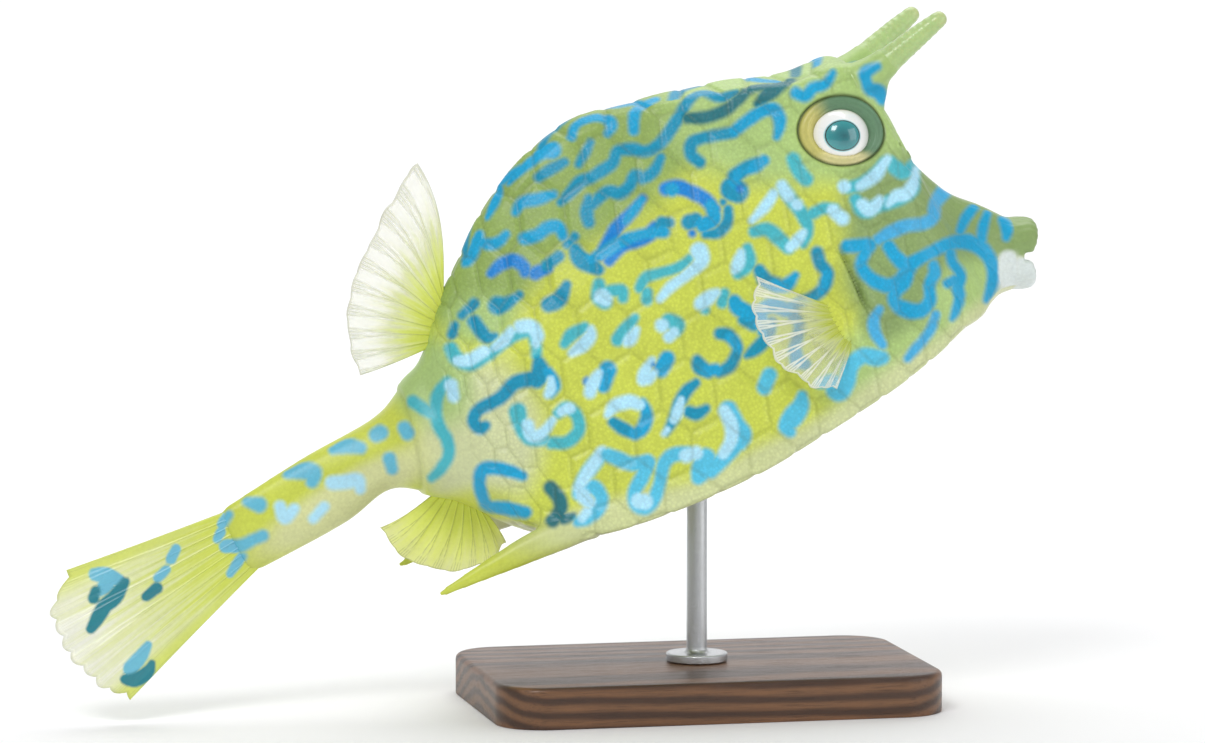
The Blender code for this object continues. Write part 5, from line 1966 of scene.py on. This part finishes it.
    def mouth(self, points: Rows, normals: Rows) -> tuple[Rows, Rows]:
        """Hollows the mouth and folds the lips.

        Args:
            points: Rows of along, side and up.
            normals: Their outward directions.

        Returns:
            The moved points, and how deep in the mouth each is.
        """
        facing, rise, side = self.lip_axes()
        away = points - self.lip_centre
        ahead, up, across = away @ facing, away @ rise, away @ side
        front = (ahead > -3.0) & (np.abs(up) < 14) & (np.abs(across) < 13)
        wide, tall, deep = self.slot
        hole = np.hypot(across / wide, (up + 0.2) / tall)
        inside = ease(hole, 1.25, 0.35) * front * (normals @ facing > -0.3)
        folds = np.cos(np.arctan2(up, across) * 26 + np.sin(ahead * 1.3) * 0.7) * 0.07
        folds *= ease(ahead, -3.4, -1.2) * front * ease(np.hypot(up, across), 3.0, 6.0)
        return points - facing * (inside * deep)[:, None] + normals * folds[:, None], inside

    def past_edge(self, points: Rows, normals: Rows, place: Rows, folded: Rows) -> tuple[Rows, Rows]:
        """Works out how the side view's scrawls end over the back, which it sees edge-on.

        Args:
            points: Rows of along, side and up.
            normals: Their outward directions.
            place: The place of each point.
            folded: The turn of each point, the same on both sides.

        Returns:
            How much each point belongs to the back, and its shift in the side view.
        """
        brow = self.form.place("brow")
        crown = catmull(self.form.rows, place)[:, 4]
        back = ease(folded, 0.14, 0.09) * ease(place, brow + 0.6, brow + 0.1)
        over = np.clip(crown * 0.95 - np.abs(points[:, 1]), 0, None) * back
        right, up, _ = self.view.axes()
        facing = normals @ self.frame.turn().T
        shift = np.stack([facing @ right, -(facing @ up)], -1) * (over * self.view.scale * 0.7)[:, None]
        return back * ease(over, 0.3, 1.6), shift

    def flank_spots(self, points: Rows) -> tuple[Rows, Rows]:
        """Places both flanks in the side view.

        Args:
            points: Rows of along, side and up.

        Returns:
            Where each point is seen, and the same bent and shifted on the left side, so that its
            scrawls aren't a mirror image of the right side's.
        """
        near_side = self.frame.to_world(points)
        near_side[:, 1] = 0.0025 - np.hypot(near_side[:, 1], 0.0025)
        spots = self.view.project(near_side)
        x, y, side = spots[:, 0], spots[:, 1], points[:, 1]
        bend = np.stack([
            np.sin(y / 33 + 0.7) * 11 + np.sin(x / 61) * 6,
            np.sin(x / 41 + 1.1) * 10 + np.sin(side / 2.3) * 3,
        ], -1)
        return spots, spots + bend * ease(side, -1.5, 11.0)[:, None]

    def colours(self, points: Rows, normals: Rows, place: Rows, turn: Rows) -> tuple[Rows, Rows, Rows]:
        """Lays the ground colours and the scrawls on the skin.

        Args:
            points: Rows of along, side and up.
            normals: Their outward directions.
            place: The place of each point.
            turn: The turn of each point.

        Returns:
            The ground colours, the distances outside the ink in millimetres, and the ink's colours.
        """
        along, side, high = points.T
        spots, bent = self.flank_spots(points)
        folded, keel = self.form.folded(turn), self.form.keel_turn
        back, shift = self.past_edge(points, normals, place, folded)
        ground = self.markings.ground(spots)
        edge, ink = self.markings.ink(bent + shift, self.markings.strokes, 2.8)
        edge = edge / self.view.scale
        # the back's own scrawls
        top_edge, top_ink = self.markings.ink(points[:, :2], self.markings.above, 0.5)
        top_edge = top_edge + (1 - back) * 6
        ink += (top_ink - ink) * (top_edge < edge)[:, None]
        edge = np.minimum(edge, top_edge)
        # fewer scrawls down the middle of the face
        middle = ease(np.abs(side - 0.6 * np.sin(high / 5)), 4.5, 1.5) * ease(along, 276, 281)
        edge = edge + middle * (1.3 + 1.5 * np.sin(high / 2.4 + 0.8))
        # the pale belly between the keels, and its scrawls
        belly = ease(folded, keel + 0.004, keel + 0.02) * ease(high, 9.0, 3.0) * ease(along, 118, 128)
        ground = laid(ground, self.markings.belly.value, belly)
        flat = np.stack([along + np.where(side > 0, 4, 0), np.abs(side)], -1)
        low_edge, low_ink = self.markings.ink(flat, self.markings.below, 0.5)
        edge = edge * (1 - belly) + np.minimum(low_edge, 6.0) * belly
        ink += (low_ink - ink) * (belly > 0.5)[:, None]
        # plain lips, the lower one pale
        facing, rise, _ = self.lip_axes()
        away = points - self.lip_centre
        lips = ease(away @ facing, -3.4, -1.2) * (place > self.form.end() - 1)
        ground = laid(ground, Tone.CHALK.value, lips * ease(away @ rise, 0.4, -0.8))
        ground = laid(ground, self.markings.snout.value, lips * ease(away @ rise, 0.2, 1.0))
        return ground, edge + lips * 3, ink

    @staticmethod
    def under_sheen(colour: Rows) -> Rows:
        """Deepens linear colours by the light that the wet surface adds over them."""
        return np.clip(colour * 1.05 - 0.034, 0.003, 1)

    def grow(self) -> Mesh:
        """Grows one closed mesh over the shells and relaxes it where they meet.

        Returns:
            The mesh, in millimetres.
        """
        shells = Mesher.mesh("shells", *self.shells())
        grown = Mesher.modified(shells, "REMESH", mode="VOXEL", voxel_size=self.voxel, use_smooth_shade=True)
        points = Mesher.read(grown.vertices, "co", 3)
        edges = Mesher.read(grown.edges, "vertices", 2, int)
        points = Mesher.smooth(points, edges, np.full(len(points), 0.5), 2)
        points = Mesher.smooth(points, edges, self.blend_weight(points), 7)
        Mesher.move(grown, points)
        mesh = Mesher.modified(grown, "SUBSURF", levels=1, render_levels=1)
        mesh.name = "skin"
        mesh.shade_smooth()
        return mesh

    def build(self) -> Mesh:
        """Builds the skin with its relief, eye rims, mouth and markings.

        Returns:
            The mesh, in metres.
        """
        mesh = self.grow()
        points, normals = Mesher.read(mesh.vertices, "co", 3), Mesher.read(mesh.vertex_normals, "vector", 3)
        place, turn, off = self.form.locate(points)
        ground, edge, ink = self.colours(points, normals, place, turn)
        lift, groove_shade, bony = self.relief(points, place, turn, off)
        calm = np.ones(len(points))
        for eye in self.eyes.values():
            outside = ease(eye.polar(points)[0], eye.rim - 1, eye.rim + 2.5)
            calm *= np.where(points[:, 1] * eye.side > 0, outside, 1)
        points = points + normals * (lift * calm)[:, None]
        points, inside = self.mouth(points, normals)
        for eye in self.eyes.values():
            points = eye.settle(points)
            ground = eye.tint(points, ground)
        edge = np.where(calm < 0.5, np.maximum(edge, 2.0), edge) + inside * 5
        # the mouth's hollow takes the flesh colour darkened as painted shade
        ground = laid(ground, self.throat_flesh_and_shade, inside * 0.9)
        Mesher.move(mesh, self.frame.to_world(points))
        Note.COLOUR.write(mesh, "ground", self.under_sheen(ground))
        Note.COLOUR.write(mesh, "ink", self.under_sheen(ink))
        Note.NUMBER.write(mesh, "ink_edge", edge)
        # the mask of painted shade in the grooves, gill slits and nostrils, kept off the eye rims
        Note.NUMBER.write(mesh, "groove_shade", np.clip(groove_shade * calm, 0, 3))
        Note.NUMBER.write(mesh, "bony", np.clip(bony * calm + 0.1, 0, 1))
        return mesh

    def dress(self, mesh: Mesh, finish: SkinFinish) -> None:
        """Makes the skin's piece, which stands for the nodes of flesh.

        Args:
            mesh: The skin's mesh.
            finish: Its finish.
        """
        spines = (f"keel_spine_{word}" for _, word in SIDES)
        flesh = ("carapace", "head", "tail_stalk", "upper_lip", "lower_lip", *spines)
        Mesher.piece("skin", mesh, finish.build(), "skin", *flesh)


@dataclass(kw_only=True)
class Fan:
    """What a fin is made from: its ray lengths, and the middle surface that the rays lie in."""

    name: str
    node: str
    lengths: tuple[float, ...]
    sunk: float
    root_half: float
    rays: int
    scallop: float
    inked: bool = False

    def length(self, across: float) -> float:
        """Gives the length of the ray at a share across the fin.

        Args:
            across: The share, from 0 to 1.

        Returns:
            The length, eased between the rays that are given.
        """
        share = min(max(across, 0.0), 1.0) * (len(self.lengths) - 1)
        start = min(int(share), len(self.lengths) - 2)
        t = share - start
        return self.lengths[start] + (self.lengths[start + 1] - self.lengths[start]) * t * t * (3 - 2 * t)

    def ripple(self, across: float, out: float) -> float:
        """Gives how far the web bends between the rays, as a share of its greatest bend."""
        return out * math.sin(across * (self.rays - 1) * math.pi)

    def spine(self, across: float, out: float) -> tuple[Rows, Rows]:
        """Gives a point of the fin's middle surface, and its thickness direction."""
        raise NotImplementedError


@dataclass(kw_only=True)
class MedianFan(Fan):
    """A fin in the fish's middle plane, between two root points and two ray angles."""

    front: tuple[float, float]
    rear: tuple[float, float]
    angles: tuple[float, float]
    curl: tuple[float, float]
    sway: float
    web_bend: float = 0.35

    def spine(self, across: float, out: float) -> tuple[Rows, Rows]:
        """Gives a point of the fin's middle surface, and its thickness direction.

        Args:
            across: The share across the fin, from 0 to 1.
            out: The share of the ray's length, below 0 inside the body.

        Returns:
            The point and the direction.
        """
        front, angles, curls = np.array(self.front), self.angles, self.curl
        root = front + (np.array(self.rear) - front) * across
        lasting = max(out, 0.0)
        curl = curls[0] + (curls[1] - curls[0]) * across
        angle = math.radians(angles[0] + (angles[1] - angles[0]) * across + curl * lasting**2)
        reach = self.length(across) * out
        sway = self.sway * lasting**2 * math.cos(math.pi * across * 1.2)
        sway += self.web_bend * self.ripple(across, lasting)
        point = np.array([root[0] + reach * math.cos(angle), sway, root[1] + reach * math.sin(angle)])
        return point, np.array([0, 1.0, 0])


@dataclass(kw_only=True)
class PectoralFan(Fan):
    """A fin on the flank, swept back and out."""

    form: BodyForm
    side: int
    root: tuple[float, float] = (236.0, 12.0)
    root_length: float = 13.0
    flare: float = math.radians(30)
    angles: tuple[float, float] = (38, -38)
    cup: float = 3.0
    web_bend: float = 0.3

    def __post_init__(self) -> None:
        """Finds the fin's root on the flank, and the directions back, up and through the fin."""
        self.centre, normal = self.form.flank(*self.root, self.side)
        ahead = unit(np.array([1.0, 0, 0]) - normal * normal[0])
        rise = np.cross(ahead, normal)
        self.rise = rise if rise[2] > 0 else -rise
        self.back = normal * math.sin(self.flare) - ahead * math.cos(self.flare)
        self.thick = unit(np.cross(self.rise, self.back))

    def spine(self, across: float, out: float) -> tuple[Rows, Rows]:
        """Gives a point of the fin's middle surface, and its thickness direction.

        Args:
            across: The share across the fin, from 0 to 1.
            out: The share of the ray's length, below 0 inside the body.

        Returns:
            The point and the direction.
        """
        lasting = max(out, 0.0)
        angle = math.radians(self.angles[0] + (self.angles[1] - self.angles[0]) * across)
        base = self.centre + self.rise * self.root_length * (0.5 - across)
        ray = (self.back * math.cos(angle) + self.rise * math.sin(angle)) * self.length(across) * out
        bend = self.cup * self.side * lasting**2 * (across - 0.5)
        bend += self.web_bend * self.ripple(across, lasting)
        return base + ray + self.thick * bend, self.thick


@dataclass
class Fin:
    """A thin fin with branching, jointed rays that stand out on both faces."""

    fan: Fan
    frame: BodyFrame
    view: SideView
    markings: Markings
    columns_per_gap: int = 14
    rows: int = 64
    edge_half: float = 0.14
    least_half: float = 0.1
    ray_half: float = 0.34
    joint: float = 1.5

    def ridge(self, across: Rows, out: Rows, length: Rows) -> Rows:
        """Gives how much of a ray stands at points of the fin.

        Args:
            across: Shares across the fin.
            out: Shares of the ray's length.
            length: The lengths of the rays there.

        Returns:
            Numbers from 0 between the rays to 1 on one.
        """
        place = across * (self.fan.rays - 1)
        from_ray = place - np.round(place)
        first, second = 0.14 * ease(out, 0.35, 0.8), 0.075 * ease(out, 0.68, 1.0)
        width = 0.085 - 0.045 * np.clip(out, 0, 1)
        branches = [np.abs(from_ray - a * first - b * second) / width for a in (-1, 1) for b in (-1, 1)]
        joints = 0.5 + 0.5 * np.cos(out * length / self.joint * math.tau)
        notch = 0.12 * ease(joints, 0.6, 1.0) * ease(out, 0.1, 0.25)
        return hump(np.min(branches, axis=0), 0, 1) * (1 - notch)

    def half(self, across: Rows, out: Rows, ridge: Rows) -> Rows:
        """Gives half the fin's thickness.

        Args:
            across: Shares across the fin.
            out: Shares of the ray's length, from 0.
            ridge: How much of a ray each point is.

        Returns:
            Millimetres from the middle surface.
        """
        root = self.fan.root_half
        found = root + (self.edge_half - root) * np.minimum(out * 1.35, 1) ** 0.7
        found = found + ridge * self.ray_half * (1 - 0.62 * out)
        rim = np.minimum(np.minimum(across, 1 - across) * (self.fan.rays - 1) * 3, 1)
        return np.maximum(found * (0.45 + 0.55 * rim**0.5), self.least_half)

    @staticmethod
    def faces(wide: int, tall: int) -> Faces:
        """Lists the faces of both sides and of the border between them.

        Args:
            wide: How many columns of points each side has.
            tall: How many points a column has.

        Returns:
            The faces as point indices.
        """
        front, other = Mesher.grid_faces(wide, tall, False), wide * tall
        border = [c * tall for c in range(wide)] + [(wide - 1) * tall + r for r in range(1, tall)]
        border += [c * tall + tall - 1 for c in range(wide - 2, -1, -1)] + list(range(tall - 2, 0, -1))
        back = [tuple(i + other for i in face[::-1]) for face in front]
        return front + back + [(a, b, b + other, a + other) for a, b in zip(border, border[1:] + border[:1])]

    def build(self) -> Mesh:
        """Builds the fin with what its finish reads.

        Returns:
            The mesh, in metres.
        """
        gaps = self.fan.rays - 1
        across = np.linspace(0, 1, gaps * self.columns_per_gap + 1)
        out = np.concatenate([[-self.fan.sunk / max(self.fan.lengths)], np.linspace(0, 1, self.rows) ** 0.9])
        centres, thick = [], []
        for share in across:
            hold = 1 - self.fan.scallop * (abs(share * gaps - round(share * gaps)) * 2) ** 2
            for far in out:
                point, direction = self.fan.spine(share, far * hold if far > 0 else far)
                centres.append(point)
                thick.append(direction)
        shares, fars = np.repeat(across, len(out)), np.tile(out, len(across))
        ridge = self.ridge(shares, fars, np.repeat([self.fan.length(share) for share in across], len(out)))
        fars = np.clip(fars, 0, 1)
        lift = np.array(thick) * self.half(shares, fars, ridge)[:, None]
        points = np.concatenate([centres + lift, centres - lift])
        mesh = Mesher.mesh(self.fan.name, self.frame.to_world(points), self.faces(len(across), len(out)))
        self.colour(mesh, points, np.tile(ridge, 2), np.tile(fars, 2), np.tile(shares, 2))
        return mesh

    def colour(self, mesh: Mesh, points: Rows, ridge: Rows, out: Rows, across: Rows) -> None:
        """Stores what the fin's finish reads.

        Args:
            mesh: The fin's mesh.
            points: Rows of along, side and up.
            ridge: How much of a ray each point is.
            out: How far out each point is.
            across: How far across each point is.
        """
        margin = np.maximum(ease(out, 0.972, 0.99), ease(np.minimum(across, 1 - across), 0.012, 0.004))
        Note.NUMBER.write(mesh, "ray", np.maximum(ridge, margin * ease(out, 0.1, 0.3) * 0.95))
        Note.NUMBER.write(mesh, "out", out)
        Note.VECTOR.write(mesh, "fan", np.stack([across, out, np.zeros(len(out))], -1))
        world = self.frame.to_world(points)
        world[:, 1] = -np.abs(world[:, 1])
        strokes = TAIL_STROKES if self.fan.inked else ()
        edge, ink = self.markings.ink(self.view.project(world), strokes, 2.0)
        Note.NUMBER.write(mesh, "ink_edge", edge / self.view.scale)
        Note.COLOUR.write(mesh, "ink", ink)

    def dress(self, mesh: Mesh, finish: FinFinish) -> None:
        """Makes the fin's piece in the place of its node."""
        Mesher.piece(self.fan.name, mesh, finish.build(), "fin", self.fan.node)


@dataclass
class FinSet:
    """The dorsal, anal and tail fins and the two pectoral fins."""

    form: BodyForm
    frame: BodyFrame
    view: SideView
    markings: Markings

    def fans(self) -> list[tuple[Fan, FinFinish]]:
        """Gives the shape and the finish of each fin.

        Returns:
            A fan and its finish for each fin.
        """
        dorsal = MedianFan(
            name="dorsal_vane", node="dorsal_fin", front=(142.0, 70.5), rear=(130.5, 57.0),
            angles=(62.5, 176), lengths=(36.6, 31.2, 27.8, 27.2, 26.4, 24.4, 21.8), sunk=4.5,
            root_half=1.0, rays=10, curl=(12, -3), sway=2.5, scallop=0.012,
        )
        anal = MedianFan(
            name="anal_vane", node="anal_fin", front=(124, 6), rear=(112.5, 18.5), angles=(-78, -169),
            lengths=(10, 16.5, 20, 21, 18), sunk=4.0, root_half=0.9, rays=10,
            curl=(-6, -6), sway=-1.5, scallop=0.012,
        )
        tail = MedianFan(
            name="tail_vane", node="tail_fin", front=(61, 42), rear=(61, 24.5), angles=(173.0, 197.5),
            lengths=(52.5, 62.4, 63.6, 61.2, 56), sunk=5.0, root_half=1.5, rays=10,
            curl=(0, 0), sway=4.0, scallop=0.022, inked=True,
        )
        pectorals = [
            PectoralFan(
                name=f"pectoral_vane_{word}", node=f"pectoral_fin_{word}", form=self.form, side=side,
                lengths=(27, 31, 29, 23, 15), sunk=3.5, root_half=0.8, rays=11, scallop=0.03,
            )
            for side, word in SIDES
        ]
        clear = FinFinish("pectoral_web", clear=0.16, root_reach=0.55, ray_dark=0.12, solid=0.62)
        return [
            # the dorsal fin's root is painted brighter than the default to offset the shade on its upright
            # face: painted light
            (dorsal, FinFinish("dorsal_web", clear=0.4, root_reach=0.85, ray_dark=0.3, root=(216, 227, 90))),
            # the anal fin's root is painted brighter to offset the shade under the body: painted light
            (anal, FinFinish(
                "anal_web", clear=0.82, root_reach=1.7, ray_dark=0.34,
                root=(230, 241, 90), web=(250, 252, 196),
            )),
            (tail, FinFinish("tail_web", clear=0.85, root_reach=1.3, ray_dark=0.12, flanks=0.9, streaks=1.3)),
            *((fan, clear) for fan in pectorals),
        ]

    def build(self) -> None:
        """Builds and dresses every fin."""
        for fan, finish in self.fans():
            fin = Fin(fan, self.frame, self.view, self.markings)
            fin.dress(fin.build(), finish)


@dataclass
class Eye:
    """One eyeball with a slightly domed front."""

    form: EyeForm
    frame: BodyFrame
    word: str
    rings: int = 90
    around: int = 128
    reach: float = math.radians(118)
    dome: float = 0.45
    dome_width: float = 5.0
    oval: float = 0.86
    behind: float = 10.0
    # the angle of the lit side, from which the pupil's painted shade is turned
    lit_from: float = math.radians(35)

    def build(self) -> Mesh:
        """Builds the ball with what its finish reads.

        Returns:
            The mesh, in metres.
        """
        eye = self.form
        gaze, ahead, over = eye.gaze_axes()
        turns = np.arange(self.around) * math.tau / self.around
        points = []
        for angle in np.linspace(0.004, 1, self.rings) * self.reach:
            radius = eye.radius + self.dome * math.exp(-((angle * eye.radius / self.dome_width) ** 4))
            ring = (np.outer(np.cos(turns), ahead) + np.outer(np.sin(turns), over)) * math.sin(angle)
            points.append(eye.centre + (ring + gaze * math.cos(angle)) * radius)
        cloud, faces = Mesher.tube(points)
        mesh = Mesher.mesh(f"eyeball_{self.word}", self.frame.to_world(cloud), faces)
        a, b, front = ((cloud - eye.centre) @ axis for axis in (ahead, over, gaze))
        oval = np.where(front > 0, np.hypot(a, b / self.oval), self.behind)
        around = np.arctan2(b, a)
        Note.NUMBER.write(mesh, "oval", oval)
        # where the pupil's painted shade falls, read by the finish
        Note.NUMBER.write(mesh, "round", np.cos(around + self.lit_from))
        Note.VECTOR.write(mesh, "iris", np.stack([a, b, front], -1))
        spokes = np.stack([np.cos(around) * 0.5, oval * 0.1, np.sin(around) * 15], -1)
        Note.VECTOR.write(mesh, "spoke", spokes)
        return mesh

    def dress(self, mesh: Mesh, material: bpy.types.Material) -> None:
        """Makes the eyeball's piece in the place of its node."""
        Mesher.piece(f"eyeball_{self.word}", mesh, material, "eye", f"eye_{self.word}")


@dataclass
class Horn:
    """One horn over an eye, with faint growth rings."""

    frame: BodyFrame
    side: int
    word: str
    path: tuple
    radii: tuple
    rings: int = 110
    around: int = 48
    growth: float = 0.05

    def build(self) -> Mesh:
        """Builds the horn with what its finish reads.

        Returns:
            The mesh, in metres.
        """
        path, radii = through(self.path, self.radii, self.rings, self.side)
        share = np.linspace(0, 1, self.rings)
        growth = np.cos(share * 70 + np.sin(share * 9) * 3) * self.growth * ease(share, 0.2, 0.5)
        rings = taper_rings(path, radii + growth[:, None], self.around)
        cloud, faces = Mesher.tube(rings)
        mesh = Mesher.mesh(f"horn_sheath_{self.word}", self.frame.to_world(cloud), faces)
        Note.NUMBER.write(mesh, "out", np.repeat(np.linspace(0, 1, len(rings)), self.around))
        return mesh

    def dress(self, mesh: Mesh, material: bpy.types.Material) -> None:
        """Makes the horn's piece in the place of its node."""
        Mesher.piece(f"horn_sheath_{self.word}", mesh, material, "horn", f"horn_{self.word}")


@dataclass
class Stand:
    """The display stand: a wooden base and a steel rod with a flange."""

    length: float = 132.0
    width: float = 84.0
    thickness: float = 12.0
    corner: float = 14.0
    edge: float = 1.6
    foot_edge: float = 0.4
    rod: float = 3.0
    flange: tuple[float, float] = (9.0, 2.4)
    fillet: float = 1.6
    flange_edge: float = 0.6
    top: float = 69.0
    gap: float = 0.3
    sides: int = 72

    def base_mesh(self) -> Mesh:
        """Builds the base with rounded corners and edges.

        Returns:
            The mesh, in metres.
        """
        shape = bmesh.new()
        bmesh.ops.create_cube(shape, size=1.0)
        size = Vector((self.length, self.width, self.thickness)) / 1000
        bmesh.ops.scale(shape, verts=shape.verts, vec=size)
        bmesh.ops.translate(shape, verts=shape.verts, vec=(0, 0, self.thickness / 2000))
        bevel = functools.partial(bmesh.ops.bevel, shape, profile=0.5, affect="EDGES")
        upright = [e for e in shape.edges if abs(e.verts[0].co.z - e.verts[1].co.z) > 0.005]
        bevel(geom=upright, offset=self.corner / 1000, segments=16)
        rim = [e for e in shape.edges if all(v.co.z > 0.9 * self.thickness / 1000 for v in e.verts)]
        bevel(geom=rim, offset=self.edge / 1000, segments=5)
        foot = [e for e in shape.edges if all(v.co.z < 0.0001 for v in e.verts)]
        bevel(geom=foot, offset=self.foot_edge / 1000, segments=2)
        mesh = bpy.data.meshes.new("base_block")
        shape.to_mesh(mesh)
        shape.free()
        mesh.shade_smooth()
        mesh.set_sharp_from_angle(angle=math.radians(32))
        return mesh

    def rod_mesh(self) -> Mesh:
        """Builds the rod and its flange as one turned shape.

        Returns:
            The mesh, in metres.
        """
        foot = self.thickness + self.gap
        wide, tall = self.flange
        rod, top, step, rim = self.rod, self.top, self.fillet, self.flange_edge
        over = foot + tall
        outline = [(0.02, top), (rod - 0.5, top), (rod - 0.15, top - 0.15), (rod, top - 0.5)]
        outline.append((rod, over + step))
        for t in np.linspace(0, math.pi / 2, 7)[1:]:
            outline.append((rod + step * (1 - math.cos(t)), over + step * (1 - math.sin(t))))
        for t in np.linspace(0, math.pi / 2, 6):
            outline.append((wide - rim + rim * math.sin(t), over - rim * (1 - math.cos(t))))
        outline += [(wide, foot + 0.2), (wide - 0.2, foot), (0.02, foot)]
        turns = np.arange(self.sides) * math.tau / self.sides
        circle = np.stack([np.cos(turns), np.sin(turns), np.zeros(self.sides)], -1)
        rings = [(circle * radius + (0, 0, height)) / 1000 for radius, height in outline]
        mesh = Mesher.mesh("rod_turned", *Mesher.tube(rings))
        mesh.set_sharp_from_angle(angle=math.radians(40))
        return mesh

    def build(self) -> None:
        """Builds and dresses the stand."""
        Mesher.piece("base_block", self.base_mesh(), WoodFinish().build(), "wood", "stand_base")
        Mesher.piece("rod_turned", self.rod_mesh(), SteelFinish().build(), "steel", "stand_rod")


@dataclass
class Studio:
    """The pale floor, the soft lights and the view."""

    view: SideView
    half_width: float = 3.0
    front: float = -1.6
    bend: tuple[float, float] = (0.9, 0.8)
    height: float = 2.6
    room: float = 0.42
    lights: tuple = (
        ("key", (-0.7, -1.0, 1.3), 0.6, 10.5, (0, 0, 0.1)),
        ("fill", (1.1, -0.9, 0.5), 1.0, 4.6, (0, 0, 0.1)),
        ("top", (0.15, 0.55, 1.3), 1.0, 7.0, (0, 0, 0.1)),
        ("behind", (0.0, 0.45, 1.1), 1.2, 6.0, (0.1, 1.6, 0.5)),
    )
    sensor: float = 36.0

    @staticmethod
    def link(name: str, data: Any) -> bpy.types.Object:
        """Links data to the scene as an object.

        Args:
            name: The object's name.
            data: Its mesh, light or camera.

        Returns:
            The object.
        """
        made = bpy.data.objects.new(name, data)
        bpy.context.scene.collection.objects.link(made)
        return made

    def floor(self) -> None:
        """Builds the floor, which sweeps up behind the fish."""
        start, radius = self.bend
        outline = [(self.front, 0.0), (start, 0.0)]
        for t in np.linspace(0, math.pi / 2, 24)[1:]:
            outline.append((start + radius * math.sin(t), radius * (1 - math.cos(t))))
        outline.append((start + radius, self.height))
        points = np.array([(x, y, z) for y, z in outline for x in (-self.half_width, self.half_width)])
        c, s = math.cos(self.view.azimuth), math.sin(self.view.azimuth)
        points = points @ np.array([[c, s, 0], [-s, c, 0], [0, 0, 1]])
        mesh = bpy.data.meshes.new("floor")
        faces = [(i, i + 1, i + 3, i + 2) for i in range(0, len(points) - 2, 2)]
        mesh.from_pydata(points.tolist(), [], faces)
        mesh.shade_smooth()
        mesh.materials.append(FloorFinish().build())
        self.link("floor", mesh)

    def light(self, name: str, place: tuple, size: float, power: float, aim: tuple) -> None:
        """Adds one square soft light.

        Args:
            name: The light's name.
            place: Where it stands, in metres.
            size: Its side, in metres.
            power: Its power in watts.
            aim: The point that it looks at.
        """
        lamp = bpy.data.lights.new(name, "AREA")
        lamp.size = size
        lamp.energy = power
        made = self.link(name, lamp)
        made.location = place
        made.rotation_euler = (Vector(aim) - Vector(place)).to_track_quat("-Z", "Y").to_euler()

    def camera(self) -> None:
        """Adds the camera at the side view."""
        right, up, out = self.view.axes()
        lens = bpy.data.cameras.new("camera")
        lens.sensor_width = self.sensor
        lens.lens = self.sensor * self.view.distance * self.view.scale / self.view.width
        lens.clip_start, lens.clip_end = 0.05, 20.0
        made = self.link("camera", lens)
        place = (self.view.middle() + out * self.view.distance) / 1000
        made.matrix_world = Matrix.Translation(place) @ Matrix((right, up, out)).transposed().to_4x4()
        bpy.context.scene.camera = made

    def build(self) -> None:
        """Builds the studio."""
        self.floor()
        self.camera()
        for light in self.lights:
            self.light(*light)
        world = bpy.data.worlds.new("soft_room")
        world.use_nodes = True
        sky = world.node_tree.nodes["Background"]
        sky.inputs["Color"].default_value = (1.0, 1.0, 1.0, 1.0)
        sky.inputs["Strength"].default_value = self.room
        bpy.context.scene.world = world
        bpy.context.scene.view_settings.view_transform = "Standard"
        LOG.info("studio built")


def main() -> None:
    """Builds every piece."""
    logging.basicConfig(level=logging.INFO, format="%(message)s")
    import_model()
    frame, view, markings, form = BodyFrame(), SideView(), Markings(), BodyForm()
    Studio(view).build()
    Stand().build()
    eyes = {side: EyeForm(form, frame, side) for side, _ in SIDES}
    skin = Skin(form, frame, view, markings, eyes)
    skin.dress(skin.build(), SkinFinish())
    eye_finish, horn_finish = EyeFinish().build(), HornFinish().build()
    for side, word in SIDES:
        eye = Eye(eyes[side], frame, word)
        eye.dress(eye.build(), eye_finish)
        horn = Horn(frame, side, word, skin.horn_path, skin.horn_radii)
        horn.dress(horn.build(), horn_finish)
    FinSet(form, frame, view, markings).build()
    bpy.context.view_layer.update()


if __name__ == "__main__":
    main()
